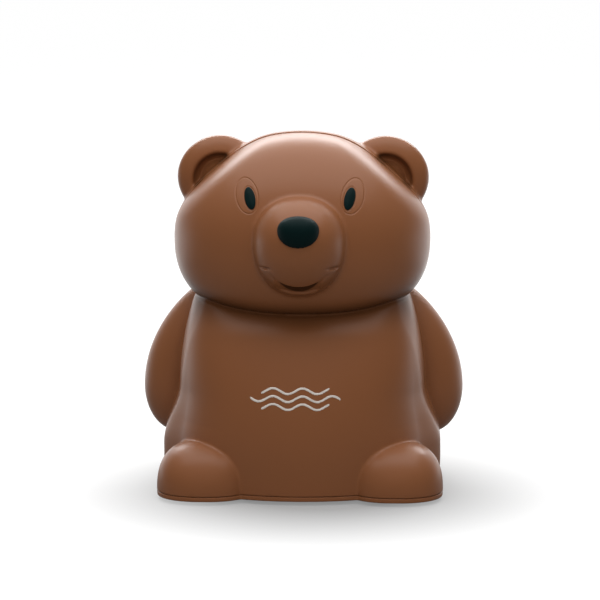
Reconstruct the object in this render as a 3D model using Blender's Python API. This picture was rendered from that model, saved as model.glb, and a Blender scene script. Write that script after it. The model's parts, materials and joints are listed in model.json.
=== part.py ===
"""A tabletop compressor nebulizer in the shape of a seated bear, as an assembly of separate solids.

Every length here is in millimetres; finish() scales each piece to metres. +Z is up and the bear faces -Y.
The frame's origin is on the table under the middle of the bounding box. The casing's own vertical axis stands
AXIS_Y behind that point, so every piece hangs from an empty placed there, and positions below count from it.
"""

import math

import bmesh
import bpy
import numpy as np
from mathutils import Matrix, Vector

MM = 0.001
AXIS_Y = 3.5
GAP = 0.3  # clearance between neighbouring solids
BEARING_GAP = 0.12  # the shaft's clearance in its bushes
SAME_PLACE = 1e-3
TINY = 1e-6  # keeps divisions clear of zero
FLAT = 1e-4  # how far a four-sided face may bend before it is split into triangles

# Casing
WALL = 2.4
TABLE_GAP = 2.0  # the base plate's height above the table
PLATE_TOP = 4.6
HEAD_Z = 138.5  # height of the head's widest section
HEAD_WIDTH, HEAD_FRONT, HEAD_REAR, HEAD_UP, HEAD_DOWN = 70.4, 54.0, 52.0, 57.0, 48.5
JOWL_POWER = 2.3  # how square the head is towards its underside; 2 would be round
MUZZLE, MUZZLE_RADII, MUZZLE_BELOW = (0, -47, 142.9), (23.8, 27, 24.3), 27.4
EAR, EAR_RADII = (45.6, 13, 168.5), (23.2, 9, 22.8)
EAR_DISH, EAR_DISH_RADII = (45.6, 3.5, 168.5), (15.0, 6.5, 14.6)
ARM, ARM_RADII, ARM_BELOW = (70.9, 20, 51), (17.6, 17, 60), 26
ARM_BOW = 0.0057  # above its centre the arm curves inward with the square of the height
FOOT, FOOT_RADII = (52.3, -41, 5), (25.9, 25.5, 26.5)
BACK_Y = 56.0  # the flat service face on the bear's back
CASING_POSTS = ((38, 152), (60, 17))  # x and z, used on both sides
POST_R, SCREW_SEAT_Y = 5.2, 28.0
BASE_POSTS = ((36, -53), (34, 50.3))  # x and y, used on both sides

# Compressor: the motor shaft runs along X, and the cylinder stands over the crank
SHAFT_Y, SHAFT_Z, SHAFT_R = 1.0, 60.0, 3.0
MOTOR_X, STACK = -6.0, 22.0
CHASSIS_Z, CHASSIS_T = 12.5, 1.6
CYLINDER_X, BORE_R, CYLINDER_R = 23.5, 12.0, 15.2
CRANK_R, CRANK_BEARING_R = 2.25, 5.0
STROKE = 2 * CRANK_R
ROD_LENGTH = 34.0
SHELF_TOP = 85.5
CYLINDER_TOP = 102.5
VALVE_PLATE_Z, VALVE_PLATE_T = 102.8, 3.0
HEAD_BLOCK_Z, HEAD_BLOCK_T = 106.1, 9.0
BLOCK = 34.0  # side of the square valve plate and cylinder head
BLOCK_SCREW = 13.5
PORT_X = 5.5  # each valve port's distance from the cylinder's axis
BARB_Z = 109.5
BARB_R, BARB_LENGTH = 1.8, 6.0

# Service face
OUTLET_X, FILTER_X, PORTS_Z = 24.0, -9.0, 80.0
SWITCH_X, SWITCH_Z, ROCKER_Y, ROCKER_REST = -27.0, 56.0, 54.5, math.radians(8)
OUTLET_BARB_Y, FILTER_BARB_Y, FLANGE_Y = 42.5, 39.5, 52.2
INLET_X, INLET_Z, TAG_Y = -26.0, 27.0, 37.5

TURN = {
    "Z": Matrix.Identity(4),
    "X": Matrix.Rotation(math.pi / 2, 4, "Y"),
    "Y": Matrix.Rotation(-math.pi / 2, 4, "X"),
}


# ---------------------------------------------------------------- scene and materials


def clear_scene():
    for obj in list(bpy.data.objects):
        bpy.data.objects.remove(obj)


def material(name, colour, roughness, metallic=0.0):
    made = bpy.data.materials.new(name)
    made.use_nodes = True
    shader = made.node_tree.nodes["Principled BSDF"]
    shader.inputs["Base Color"].default_value = (*colour, 1)
    shader.inputs["Roughness"].default_value = roughness
    shader.inputs["Metallic"].default_value = metallic
    return made


clear_scene()
BROWN = material("brown_plastic", (0.21, 0.085, 0.04), 0.38)
DARK = material("dark_gloss_plastic", (0.008, 0.018, 0.018), 0.2)
BLACK = material("black_plastic", (0.02, 0.02, 0.022), 0.45)
RUBBER = material("rubber", (0.03, 0.03, 0.03), 0.8)
STEEL = material("steel", (0.55, 0.55, 0.56), 0.35, 1.0)
LAMINATION = material("lamination_steel", (0.32, 0.33, 0.35), 0.5, 1.0)
ALUMINIUM = material("cast_aluminium", (0.62, 0.63, 0.64), 0.45, 1.0)
COPPER = material("copper_winding", (0.55, 0.2, 0.07), 0.35, 1.0)
BRONZE = material("bronze", (0.5, 0.32, 0.12), 0.4, 1.0)
NYLON = material("white_nylon", (0.75, 0.74, 0.7), 0.5)
PTFE = material("cup_seal", (0.16, 0.13, 0.1), 0.55)
SILICONE = material("silicone_hose", (0.75, 0.77, 0.76), 0.35)
FELT = material("filter_felt", (0.85, 0.85, 0.82), 0.95)
WIRE_BLUE = material("blue_wire", (0.02, 0.1, 0.45), 0.4)
WIRE_BROWN = material("brown_wire", (0.15, 0.05, 0.02), 0.4)

AXIS = bpy.data.objects.new("casing_axis", None)
AXIS.location = (0, AXIS_Y * MM, 0)
bpy.context.scene.collection.objects.link(AXIS)


# ---------------------------------------------------------------- modelling tools


def flat(face):
    first, *rest = face.verts
    return all(abs(face.normal.dot(v.co - first.co)) < FLAT for v in rest)


def blank(bm):
    """A working object from a bmesh, in millimetres."""
    bmesh.ops.triangulate(bm, faces=[f for f in bm.faces if len(f.verts) == 4 and not flat(f)])
    bmesh.ops.recalc_face_normals(bm, faces=bm.faces)
    mesh = bpy.data.meshes.new("blank")
    bm.to_mesh(mesh)
    bm.free()
    obj = bpy.data.objects.new("blank", mesh)
    bpy.context.scene.collection.objects.link(obj)
    return obj


def weld(mesh):
    """Joins the corners that a Boolean leaves in the same place."""
    bm = bmesh.new()
    bm.from_mesh(mesh)
    bmesh.ops.remove_doubles(bm, verts=bm.verts, dist=SAME_PLACE)
    bmesh.ops.dissolve_degenerate(bm, edges=bm.edges, dist=SAME_PLACE)
    bm.to_mesh(mesh)
    bm.free()


def combine(target, operation, tools):
    """Applies one exact Boolean for each tool, and removes the tools."""
    for tool in tools:
        change = target.modifiers.new("combine", "BOOLEAN")
        change.operation = operation
        change.object = tool
        graph = bpy.context.evaluated_depsgraph_get()
        made = bpy.data.meshes.new_from_object(target.evaluated_get(graph))
        target.modifiers.clear()
        target.data = made
        bpy.data.objects.remove(tool)
        weld(made)
    return target


def join(target, *tools):
    return combine(target, "UNION", tools)


def cut(target, *tools):
    return combine(target, "DIFFERENCE", tools)


def keep(target, tool):
    return combine(target, "INTERSECT", (tool,))


def copy_of(obj):
    twin = bpy.data.objects.new("blank", obj.data.copy())
    bpy.context.scene.collection.objects.link(twin)
    return twin


def moved(obj, matrix):
    obj.data.transform(matrix)
    return obj


def finish(obj, name, finish_material, origin=(0, 0, 0), smooth=35):
    """Names a piece, moves its origin to the given point, scales it to metres and hangs it on the casing's axis."""
    obj.name = obj.data.name = name
    obj.data.transform(Matrix.Scale(MM, 4) @ Matrix.Translation(-Vector(origin)))
    obj.location = Vector(origin) * MM
    obj.parent = AXIS
    obj.data.materials.clear()
    obj.data.materials.append(finish_material)
    obj.data.shade_smooth()
    obj.data.set_sharp_from_angle(angle=math.radians(smooth))
    return obj


def box(low, high, bevel=0.0):
    """A box between two corners, with its edges chamfered if bevel is given."""
    low, high = Vector(low), Vector(high)
    bm = bmesh.new()
    bmesh.ops.create_cube(bm, size=1)
    bmesh.ops.scale(bm, vec=high - low, verts=bm.verts)
    bmesh.ops.translate(bm, vec=(low + high) / 2, verts=bm.verts)
    if bevel:
        bmesh.ops.bevel(bm, geom=bm.edges[:], offset=bevel, segments=1, affect="EDGES")
    return blank(bm)


def turned(profile, centre=(0, 0, 0), axis="Z", segments=32, hollow=False):
    """Revolves (radius, height) points round an axis. A hollow profile is a closed loop clear of the axis."""
    bm = bmesh.new()
    rings = []
    for radius, height in profile:
        count = segments if radius > 0 else 1
        rings.append(
            [
                bm.verts.new(
                    (
                        radius * math.cos(2 * math.pi * i / count),
                        radius * math.sin(2 * math.pi * i / count),
                        height,
                    )
                )
                for i in range(count)
            ]
        )
    pairs = list(zip(rings, rings[1:]))
    if hollow:
        pairs.append((rings[-1], rings[0]))
    for first, second in pairs:
        for i in range(segments):
            ring = [first[i % len(first)], first[(i + 1) % len(first)]]
            ring += [second[(i + 1) % len(second)], second[i % len(second)]]
            bm.faces.new(list(dict.fromkeys(ring)))
    if not hollow:
        for ring in (rings[0], rings[-1]):
            if len(ring) > 1:
                bm.faces.new(ring)
    bm.transform(Matrix.Translation(centre) @ TURN[axis])
    return blank(bm)


def rod(radius, start, end, axis="Z", centre=(0, 0), segments=24):
    """A plain round bar along an axis, from start to end. centre is its place on the other two axes, in order."""
    place = list(centre)
    place.insert("XYZ".index(axis), 0)
    return turned([(radius, start), (radius, end)], place, axis, segments)


def bush(outer, inner, start, end, axis, centre, segments=24):
    place = list(centre)
    place.insert("XYZ".index(axis), 0)
    loop = [(outer, start), (outer, end), (inner, end), (inner, start)]
    return turned(loop, place, axis, segments, hollow=True)


def slab(outline, start, end, axis):
    """Extrudes an outline of points on the other two axes, in order, from start to end along an axis."""
    bm = bmesh.new()
    place = "XYZ".index(axis)
    corners = []
    for point in outline:
        spot = list(point)
        spot.insert(place, start)
        corners.append(bm.verts.new(spot))
    face = bm.faces.new(corners)
    made = bmesh.ops.extrude_face_region(bm, geom=[face])
    step = [0, 0, 0]
    step[place] = end - start
    new_verts = [v for v in made["geom"] if isinstance(v, bmesh.types.BMVert)]
    bmesh.ops.translate(bm, vec=step, verts=new_verts)
    return blank(bm)


def obround(half_straight, radius, centre, steps=8, upright=True):
    """The points of a slot outline: two half circles joined by straight sides."""
    points = []
    for end in (1, -1):
        for i in range(steps + 1):
            angle = math.pi * i / steps + (0 if end > 0 else math.pi)
            across = radius * math.cos(angle)
            along = radius * math.sin(angle) + end * half_straight
            spot = (across, along) if upright else (along, -across)
            points.append((centre[0] + spot[0], centre[1] + spot[1]))
    return points


def smooth_path(points, steps):
    """Catmull-Rom points through the given ones."""
    knots = [Vector(p) for p in points]
    knots = [2 * knots[0] - knots[1], *knots, 2 * knots[-1] - knots[-2]]
    path = []
    for a, b, c, d in zip(knots, knots[1:], knots[2:], knots[3:]):
        for i in range(steps):
            t = i / steps
            path.append(
                0.5
                * (
                    2 * b
                    + (c - a) * t
                    + (2 * a - 5 * b + 4 * c - d) * t**2
                    + (3 * b - a - 3 * c + d) * t**3
                )
            )
    return path + [knots[-2]]


def hose(points, outer, inner=0.0, sides=8, steps=2):
    """Sweeps a round tube, or a round bar if inner is 0, along a smooth path."""
    path = smooth_path(points, steps)
    bm = bmesh.new()
    skins = {radius: [] for radius in (outer, inner) if radius > 0}
    side = Vector((1, 0, 0))
    for i, spot in enumerate(path):
        ahead = path[min(i + 1, len(path) - 1)] - path[max(i - 1, 0)]
        ahead.normalize()
        side = (side - ahead * side.dot(ahead)).normalized()
        up = ahead.cross(side)
        for radius, rings in skins.items():
            ring = []
            for k in range(sides):
                angle = 2 * math.pi * k / sides
                ring.append(bm.verts.new(spot + radius * (side * math.cos(angle) + up * math.sin(angle))))
            rings.append(ring)

    def bridge(first, second):
        for k in range(sides):
            n = (k + 1) % sides
            bm.faces.new((first[k], first[n], second[n], second[k]))

    for rings in skins.values():
        for first, second in zip(rings, rings[1:]):
            bridge(first, second)
    for end in (0, -1):
        if inner > 0:
            bridge(skins[outer][end], skins[inner][end])
        else:
            bm.faces.new(skins[outer][end])
    return blank(bm)


# ---------------------------------------------------------------- the bear's form, as distance fields


def smooth_max(a, b, k):
    h = np.maximum(k - np.abs(a - b), 0) / k
    return np.maximum(a, b) + h * h * k / 4


def smooth_min(a, b, k):
    return -smooth_max(-a, -b, k)


def smooth_step(low, high, value):
    t = np.clip((value - low) / (high - low), 0, 1)
    return t * t * (3 - 2 * t)


def oval(x, y, z, a, b, c, power=2.0, rise=2.0):
    """Distance to a form with half-sizes a, b and c.

    The section across Z is a superellipse of the given power, and rise is the same for the sections along Z.
    """
    u, v, w = np.abs(x / a) + TINY, np.abs(y / b) + TINY, np.abs(z / c)
    rho = (u**power + v**power) ** (1 / power)
    size = (rho**rise + w**rise) ** (1 / rise)
    across = (rho / size) ** (rise - 1)
    slope = np.sqrt(
        (across * (u / rho) ** (power - 1) / a) ** 2
        + (across * (v / rho) ** (power - 1) / b) ** 2
        + ((w / size) ** (rise - 1) / c) ** 2
    )
    return (size - 1) / slope


def head_field(p):
    x, y, z = p.T
    depth = np.where(y < 0, HEAD_FRONT, HEAD_REAR)
    height = np.where(z > HEAD_Z, HEAD_UP, HEAD_DOWN)
    rise = np.where(z > HEAD_Z, 2, JOWL_POWER)
    skull = oval(x, y, z - HEAD_Z, HEAD_WIDTH, depth, height, 2.2, rise)
    temple = np.abs(x) * 0.6706 + z * 0.7417 - 162.8  # the flats that slope from the crown to the cheeks
    return smooth_max(skull, temple, 8)


def body_field(p):
    x, y, z = p.T
    width = 67.4 + 9.0 * (1 - smooth_step(24, 58, z))
    width -= 0.0035 * np.maximum(z - 57, 0) ** 2 + 0.006 * np.maximum(16 - z, 0) ** 2
    shoulder = np.clip(51 + 1.03 * (106 - z), 20, 140)  # how far forward the flanks would meet
    rear = 66 - 0.003 * np.maximum(z - 50, 0) ** 2 - 0.02 * np.maximum(z - 90, 0) ** 2
    flank = np.where(
        y < 0,
        oval(x, y, 0 * z, width, shoulder, 1),
        oval(x, y, 0 * z, width, rear, 1, 2.4),
    )
    belly_depth = 64 - 0.003 * np.maximum(z - 20, 0) ** 2 - 0.03 * np.maximum(z - 88, 0) ** 2
    belly = oval(x, np.minimum(y, 0), 0 * z, 80 + 0.15 * (z - 20), belly_depth, 1)
    belly = np.where(y < 0, belly, -60)
    softness = np.clip(5 + 0.35 * (106 - z), 5, 28) * smooth_step(0, 30, -y)
    body = smooth_max(flank, belly, softness + TINY)
    body = smooth_max(body, y - BACK_Y, 4)
    body = smooth_max(body, z - 118, 10)
    return smooth_max(body, -30 - z, 10)


def field_solid(field, centre, level, divisions):
    """Pushes the points of a cube-sphere out along rays from centre until the field reaches level."""
    bm = bmesh.new()
    bmesh.ops.create_cube(bm, size=2)
    bmesh.ops.subdivide_edges(bm, edges=bm.edges[:], cuts=divisions - 1, use_grid_fill=True)
    ways = np.array([v.co for v in bm.verts])
    ways = np.tan(ways * math.pi / 4.4)
    ways /= np.linalg.norm(ways, axis=1)[:, None]
    near, far = np.zeros(len(ways)), np.full(len(ways), 150.0)
    for _ in range(36):
        middle = (near + far) / 2
        inside = field(np.array(centre) + ways * middle[:, None]) < level
        near, far = np.where(inside, middle, near), np.where(inside, far, middle)
    for vert, spot in zip(bm.verts, np.array(centre) + ways * near[:, None]):
        vert.co = spot
    return blank(bm)


def ball(centre, radii, divisions, shrink=0.0, below=None, bow=0.0):
    """An ellipsoid. below, if given, is its half-height under its centre. Above that, bow curves it along X."""
    bm = bmesh.new()
    bmesh.ops.create_uvsphere(bm, u_segments=2 * divisions, v_segments=divisions, radius=1)
    for vert in bm.verts:
        x, y, z = vert.co
        height = radii[2] if z > 0 or below is None else below
        x, y, z = x * (radii[0] - shrink), y * (radii[1] - shrink), z * (height - shrink)
        vert.co = (x - bow * max(z, 0) ** 2, y, z)
    bm.transform(Matrix.Translation(centre))
    return blank(bm)


def muzzle_form(divisions, shrink=0.0):
    return ball(MUZZLE, MUZZLE_RADII, divisions, shrink, MUZZLE_BELOW)


def arm_form(side, divisions, shrink=0.0):
    centre = (side * ARM[0], *ARM[1:])
    return ball(centre, ARM_RADII, divisions, shrink, ARM_BELOW, side * ARM_BOW)


# ---------------------------------------------------------------- casing


def mirrored(point):
    return [(side * point[0], *point[1:]) for side in (-1, 1)]


def head_form(level=0.0, divisions=11):
    return field_solid(head_field, (0, 0, HEAD_Z), level, divisions)


def trunk_form(level=0.0, divisions=10):
    return field_solid(body_field, (0, 0, 50), level, divisions)


def feet_forms(shrink=0.0, divisions=9):
    return [ball(centre, FOOT_RADII, divisions, shrink) for centre in mirrored(FOOT)]


def outer_form():
    form = join(head_form(), muzzle_form(12))
    join(form, trunk_form(), *feet_forms())
    for side in (-1, 1):
        ear = ball((side * EAR[0], *EAR[1:]), EAR_RADII, 9)
        cut(ear, ball((side * EAR_DISH[0], *EAR_DISH[1:]), EAR_DISH_RADII, 6))
        join(form, arm_form(side, 9), ear)
    return form


def cavity():
    """The space inside the casing's wall, less the posts that the screws turn into."""
    space = join(head_form(-WALL, 8), muzzle_form(8, WALL))
    join(space, trunk_form(-WALL, 8), *feet_forms(WALL, 7))
    for side in (-1, 1):
        join(space, arm_form(side, 7, WALL))
        for x, z in CASING_POSTS:
            cut(space, rod(POST_R, -90, 90, "Y", (side * x, z), 16))
        for x, y in BASE_POSTS:
            cut(space, rod(POST_R, -60, 17, "Z", (side * x, y), 16))
    return space


def half_space(axis_y):
    """A block that holds everything in front of the seam, or behind it."""
    if axis_y < 0:
        return box((-120, -150, PLATE_TOP + GAP), (120, -GAP / 2, 260))
    return box((-120, GAP / 2, PLATE_TOP + GAP), (120, 150, 260))


def slots(count, pitch, low, high, across):
    """A column of slot cutters through the back of the casing."""
    return [
        box((low, BACK_Y - 9, across + i * pitch), (high, BACK_Y + 4, across + i * pitch + 3))
        for i in range(count)
    ]


def build_casing():
    shell = cut(outer_form(), cavity())
    front = keep(copy_of(shell), half_space(-1))
    rear = keep(shell, half_space(1))
    for side in (-1, 1):
        for x, z in CASING_POSTS:
            cut(front, rod(1.2, -13, 5, "Y", (side * x, z), 12))
            cut(rear, rod(1.9, -5, 40, "Y", (side * x, z), 12))
            cut(rear, rod(3.7, SCREW_SEAT_Y, 70, "Y", (side * x, z), 16))
        for (x, y), half in zip(BASE_POSTS, (front, rear)):
            cut(half, rod(1.2, 0, 15, "Z", (side * x, y), 12))
        cut(front, rod(1.8, -60, -20, "Y", (side * EYE_X, EYE_Z), 12))
    cut(front, mouth_cutter(), rod(2.8, -90, -60, "Y", (0, NOSE_Z), 16))
    cut(rear, rod(5.3, 40, 70, "Y", (OUTLET_X, PORTS_Z), 24))
    cut(rear, rod(10.9, 40, 70, "Y", (FILTER_X, PORTS_Z), 28))
    cut(rear, box((SWITCH_X - 6.6, 40, SWITCH_Z - 9.6), (SWITCH_X + 6.6, 70, SWITCH_Z + 9.6)))
    cut(rear, box((INLET_X - 12.4, 40, INLET_Z - 6.4), (INLET_X + 12.4, 70, INLET_Z + 6.4)))
    cut(rear, *slots(7, 6.5, 3, 35, 20))
    finish(front, "front_casing", BROWN)
    finish(rear, "rear_casing", BROWN)


def build_base_plate():
    plate = join(trunk_form(), *feet_forms())
    keep(plate, box((-120, -120, TABLE_GAP), (120, 120, PLATE_TOP)))
    for side in (-1, 1):
        for x, y in BASE_POSTS:
            cut(plate, rod(1.8, 0, 9, "Z", (side * x, y), 12))
            cut(plate, rod(3.4, 0, 3.4, "Z", (side * x, y), 16))
    for i in range(6):
        low = -52 + 6 * i
        cut(plate, box((low, -18, 0), (low + 3, 26, 9)))
    finish(plate, "base_plate", BROWN)


# The face. The nose and the eyes are pressed into the front casing by their pegs.
EYE_X, EYE_Z, EYE_LEAN = 27.0, 165.6, math.radians(13)
EYE_RADII = (3.1, 6.1, 1.9)
NOSE_Z, NOSE_Y, NOSE_RADII = 151.4, -70.7, (11.2, 8.3, 8.8)
MOUTH_Z, MOUTH_HALF, MOUTH_RISE = 122.6, 13.0, 4.5


def on_head(x, z):
    """The point on the front of the head at x and z, and the direction that faces out there."""
    ahead = np.linspace(-90, -5, 4000)
    line = np.stack([np.full_like(ahead, x), ahead, np.full_like(ahead, z)], axis=1)
    spot = line[np.argmax(head_field(line) < 0)]
    steps = np.concatenate([spot + np.eye(3) * 0.01, spot - np.eye(3) * 0.01])
    ends = head_field(steps)
    return Vector(spot), Vector(ends[:3] - ends[3:]).normalized()


def mouth_cutter():
    path = []
    for i in range(-4, 5):
        x = MOUTH_HALF * i / 4
        z = MOUTH_Z + MOUTH_RISE * (x / MOUTH_HALF) ** 2
        across, up = (x - MUZZLE[0]) / MUZZLE_RADII[0], (z - MUZZLE[2]) / MUZZLE_BELOW
        path.append((x, MUZZLE[1] - MUZZLE_RADII[1] * math.sqrt(1 - across**2 - up**2), z))
    return hose(path, 1.1, sides=8, steps=2)


def build_face():
    nose = ball((0, NOSE_Y, NOSE_Z), NOSE_RADII, 8)
    cut(nose, muzzle_form(12, -GAP))
    join(nose, rod(2.4, NOSE_Y - 2, NOSE_Y + 6, "Y", (0, NOSE_Z), 12))
    finish(nose, "nose", DARK)
    for side, name in ((-1, "eye_right"), (1, "eye_left")):
        spot, way = on_head(side * EYE_X, EYE_Z)
        turn = way.to_track_quat("Z", "Y").to_matrix().to_4x4() @ Matrix.Rotation(-side * EYE_LEAN, 4, "Z")
        eye = moved(ball((0, 0, 0), EYE_RADII, 6), Matrix.Translation(spot) @ turn)
        cut(eye, head_form(GAP))
        join(eye, rod(1.4, spot.y - 1.0, spot.y + 6, "Y", (side * EYE_X, EYE_Z), 10))
        finish(eye, name, DARK)


def build_screws():
    for i, (x, z) in enumerate(p for post in CASING_POSTS for p in mirrored(post)):
        profile = [(0, -11), (1.0, -10), (1.0, SCREW_SEAT_Y), (3.2, SCREW_SEAT_Y)]
        profile = [(r, y + GAP) for r, y in profile]
        profile += [(3.2, SCREW_SEAT_Y + 2.4), (0, SCREW_SEAT_Y + 2.4)]
        finish(turned(profile, (x, 0, z), "Y", 10), f"casing_screw_{i + 1}", STEEL)
    for i, (x, y) in enumerate(p for post in BASE_POSTS for p in mirrored(post)):
        profile = [(0, 2.2), (3.0, 2.2), (3.0, 3.1), (1.0, 3.1), (1.0, 13), (0, 14)]
        finish(turned(profile, (x, y, 0), "Z", 10), f"base_screw_{i + 1}", STEEL)
    for i, (x, y) in enumerate(p for p in mirrored((BLOCK_SCREW, -BLOCK_SCREW)) + mirrored((BLOCK_SCREW,) * 2)):
        top = HEAD_BLOCK_Z + HEAD_BLOCK_T + GAP
        profile = [(0, SHELF_TOP - 5), (1.5, SHELF_TOP - 5), (1.5, top), (2.9, top), (2.9, top + 2.2), (0, top + 2.2)]
        centre = (CYLINDER_X + x, SHAFT_Y + y, 0)
        finish(turned(profile, centre, "Z", 10), f"head_screw_{i + 1}", STEEL)


def build_feet():
    for i, (x, y) in enumerate(mirrored((54, -38)) + mirrored((46, 38))):
        profile = [(0, 0), (5.6, 0), (6.5, 0.6), (6.5, 1.7), (0, 1.7)]
        finish(turned(profile, (x, y, 0), "Z", 16), f"rubber_foot_{i + 1}", RUBBER)


# ---------------------------------------------------------------- compressor


def build_mounts_and_chassis():
    spots = [(x, SHAFT_Y + y) for x in (-35, 29) for y in (-24, 24)]
    low, high = PLATE_TOP + GAP, CHASSIS_Z - GAP
    waist = (low + high) / 2
    profile = [(0, low), (6.5, low), (6.5, low + 1.5), (4.6, waist), (6.5, high - 1.5), (6.5, high), (0, high)]
    for i, (x, y) in enumerate(spots):
        finish(turned(profile, (x, y, 0), "Z", 16), f"vibration_mount_{i + 1}", RUBBER)
    plate = box((-42, SHAFT_Y - 32, CHASSIS_Z), (36, SHAFT_Y + 32, CHASSIS_Z + CHASSIS_T), 0.5)
    for x, y in spots:
        cut(plate, rod(2.2, 5, 20, "Z", (x, y), 12))
    cut(plate, box((-20, SHAFT_Y - 14, 5), (8, SHAFT_Y + 14, 20)))
    finish(plate, "motor_chassis", STEEL)


def build_stator():
    low_x, high_x = MOTOR_X - STACK / 2, MOTOR_X + STACK / 2
    stack = box((low_x, SHAFT_Y - 31, 24), (high_x, SHAFT_Y + 31, 80), 1.5)
    cut(stack, rod(13.4, low_x - 5, high_x + 5, "X", (SHAFT_Y, SHAFT_Z), 36))
    cut(stack, box((low_x - 5, SHAFT_Y - 16, 36), (high_x + 5, SHAFT_Y + 16, 44.5)))
    finish(stack, "stator_stack", LAMINATION)

    def around_limb(grow, low_y, high_y):
        return box((low_x - grow, low_y, 24 - grow), (high_x + grow, high_y, 36 + grow))

    ends = (SHAFT_Y - 15.5, SHAFT_Y + 15.5)
    bobbin = around_limb(1.5, *ends)
    join(bobbin, around_limb(7.8, ends[0], ends[0] + 1.3), around_limb(7.8, ends[1] - 1.3, ends[1]))
    cut(bobbin, around_limb(GAP, ends[0] - 5, ends[1] + 5))
    finish(bobbin, "coil_bobbin", NYLON)
    winding = box((low_x - 7, ends[0] + 1.6, 17), (high_x + 7, ends[1] - 1.6, 43), 1.2)
    cut(winding, around_limb(1.8, ends[0], ends[1]))
    finish(winding, "coil_winding", COPPER)


def end_bracket(low_x, high_x, top):
    """A cast arch that stands on the chassis, clears the winding and holds a bush on the shaft's axis."""
    arch = box((low_x, SHAFT_Y - 31, CHASSIS_Z + CHASSIS_T + GAP), (high_x, SHAFT_Y + 31, top), 1.0)
    cut(arch, box((low_x - 5, SHAFT_Y - 18, 0), (high_x + 5, SHAFT_Y + 18, 45.5)))
    return arch


def build_brackets():
    low_x, high_x = MOTOR_X - STACK / 2, MOTOR_X + STACK / 2
    fan_end = end_bracket(low_x - GAP - 6, low_x - GAP, 80)
    cut(fan_end, rod(7.3, low_x - 20, low_x + 20, "X", (SHAFT_Y, SHAFT_Z)))
    finish(fan_end, "fan_end_bracket", ALUMINIUM)
    face = high_x + GAP
    drive_end = end_bracket(face, face + 6, SHELF_TOP)
    shelf = (CYLINDER_X - BLOCK / 2, CYLINDER_X + BLOCK / 2)
    join(drive_end, box((face + 0.5, SHAFT_Y - 17, SHELF_TOP - 4), (shelf[1], SHAFT_Y + 17, SHELF_TOP - 0.01)))
    for side in (-1, 1):
        rib = [(face + 3, SHELF_TOP - 2), (face + 3, SHELF_TOP - 20), (shelf[1] - 3, SHELF_TOP - 2)]
        edges = sorted((SHAFT_Y + side * 16.5, SHAFT_Y + side * 13.5))
        join(drive_end, slab(rib, edges[0], edges[1], "Y"))
        for x in (-BLOCK_SCREW, BLOCK_SCREW):
            spot = (CYLINDER_X + x, SHAFT_Y + side * BLOCK_SCREW)
            cut(drive_end, rod(1.8, SHELF_TOP - 7, SHELF_TOP + 5, "Z", spot, 12))
    cut(drive_end, rod(BORE_R + 0.5, 60, 100, "Z", (CYLINDER_X, SHAFT_Y), 32))
    cut(drive_end, rod(7.3, face - 5, face + 12, "X", (SHAFT_Y, SHAFT_Z)))
    finish(drive_end, "drive_end_bracket", ALUMINIUM)
    centre = (SHAFT_Y, SHAFT_Z)
    finish(bush(7, SHAFT_R + BEARING_GAP, low_x - 6.3, low_x - 0.6, "X", centre), "fan_end_bush", BRONZE)
    finish(bush(7, SHAFT_R + BEARING_GAP, face + 0.3, face + 6, "X", centre), "drive_end_bush", BRONZE)


def build_rotor():
    centre = (SHAFT_Y, SHAFT_Z)
    origin = (MOTOR_X, SHAFT_Y, SHAFT_Z)
    low_x, high_x = MOTOR_X - STACK / 2, MOTOR_X + STACK / 2
    finish(rod(SHAFT_R, -37.5, 16.5, "X", centre), "motor_shaft", STEEL, origin)
    core = bush(12.9, SHAFT_R + GAP, low_x + 0.4, high_x - 0.4, "X", centre, 28)
    finish(core, "rotor_core", LAMINATION, origin)

    fan = bush(8, SHAFT_R + GAP, -36, -27.5, "X", centre, 20)
    for i in range(7):
        blade = box((-4.6, -5.5, 6.5), (-3.4, 5.5, 28))
        moved(blade, Matrix.Translation((4, 0, 0)))
        moved(blade, Matrix.Rotation(math.radians(52), 4, "Z"))
        moved(blade, Matrix.Rotation(2 * math.pi * i / 7, 4, "X"))
        join(fan, moved(blade, Matrix.Translation((-31.7, *centre))))
    finish(fan, "cooling_fan", BLACK, origin)

    pin_z = SHAFT_Z - CRANK_R
    crank = rod(15, 13.5, 19.3, "X", centre, 32)
    cut(crank, box((10, -30, SHAFT_Z - 20), (30, 40, SHAFT_Z - 8)))
    cut(crank, rod(SHAFT_R + GAP, 10, 16.8, "X", centre))
    join(crank, rod(2.5, 18, 27.3, "X", (SHAFT_Y, pin_z), 16))
    finish(crank, "crank_disc", STEEL, origin)
    bearing = bush(CRANK_BEARING_R, 2.8, 20.9, 26.1, "X", (SHAFT_Y, pin_z), 24)
    finish(bearing, "crank_bearing", STEEL, origin)


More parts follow.
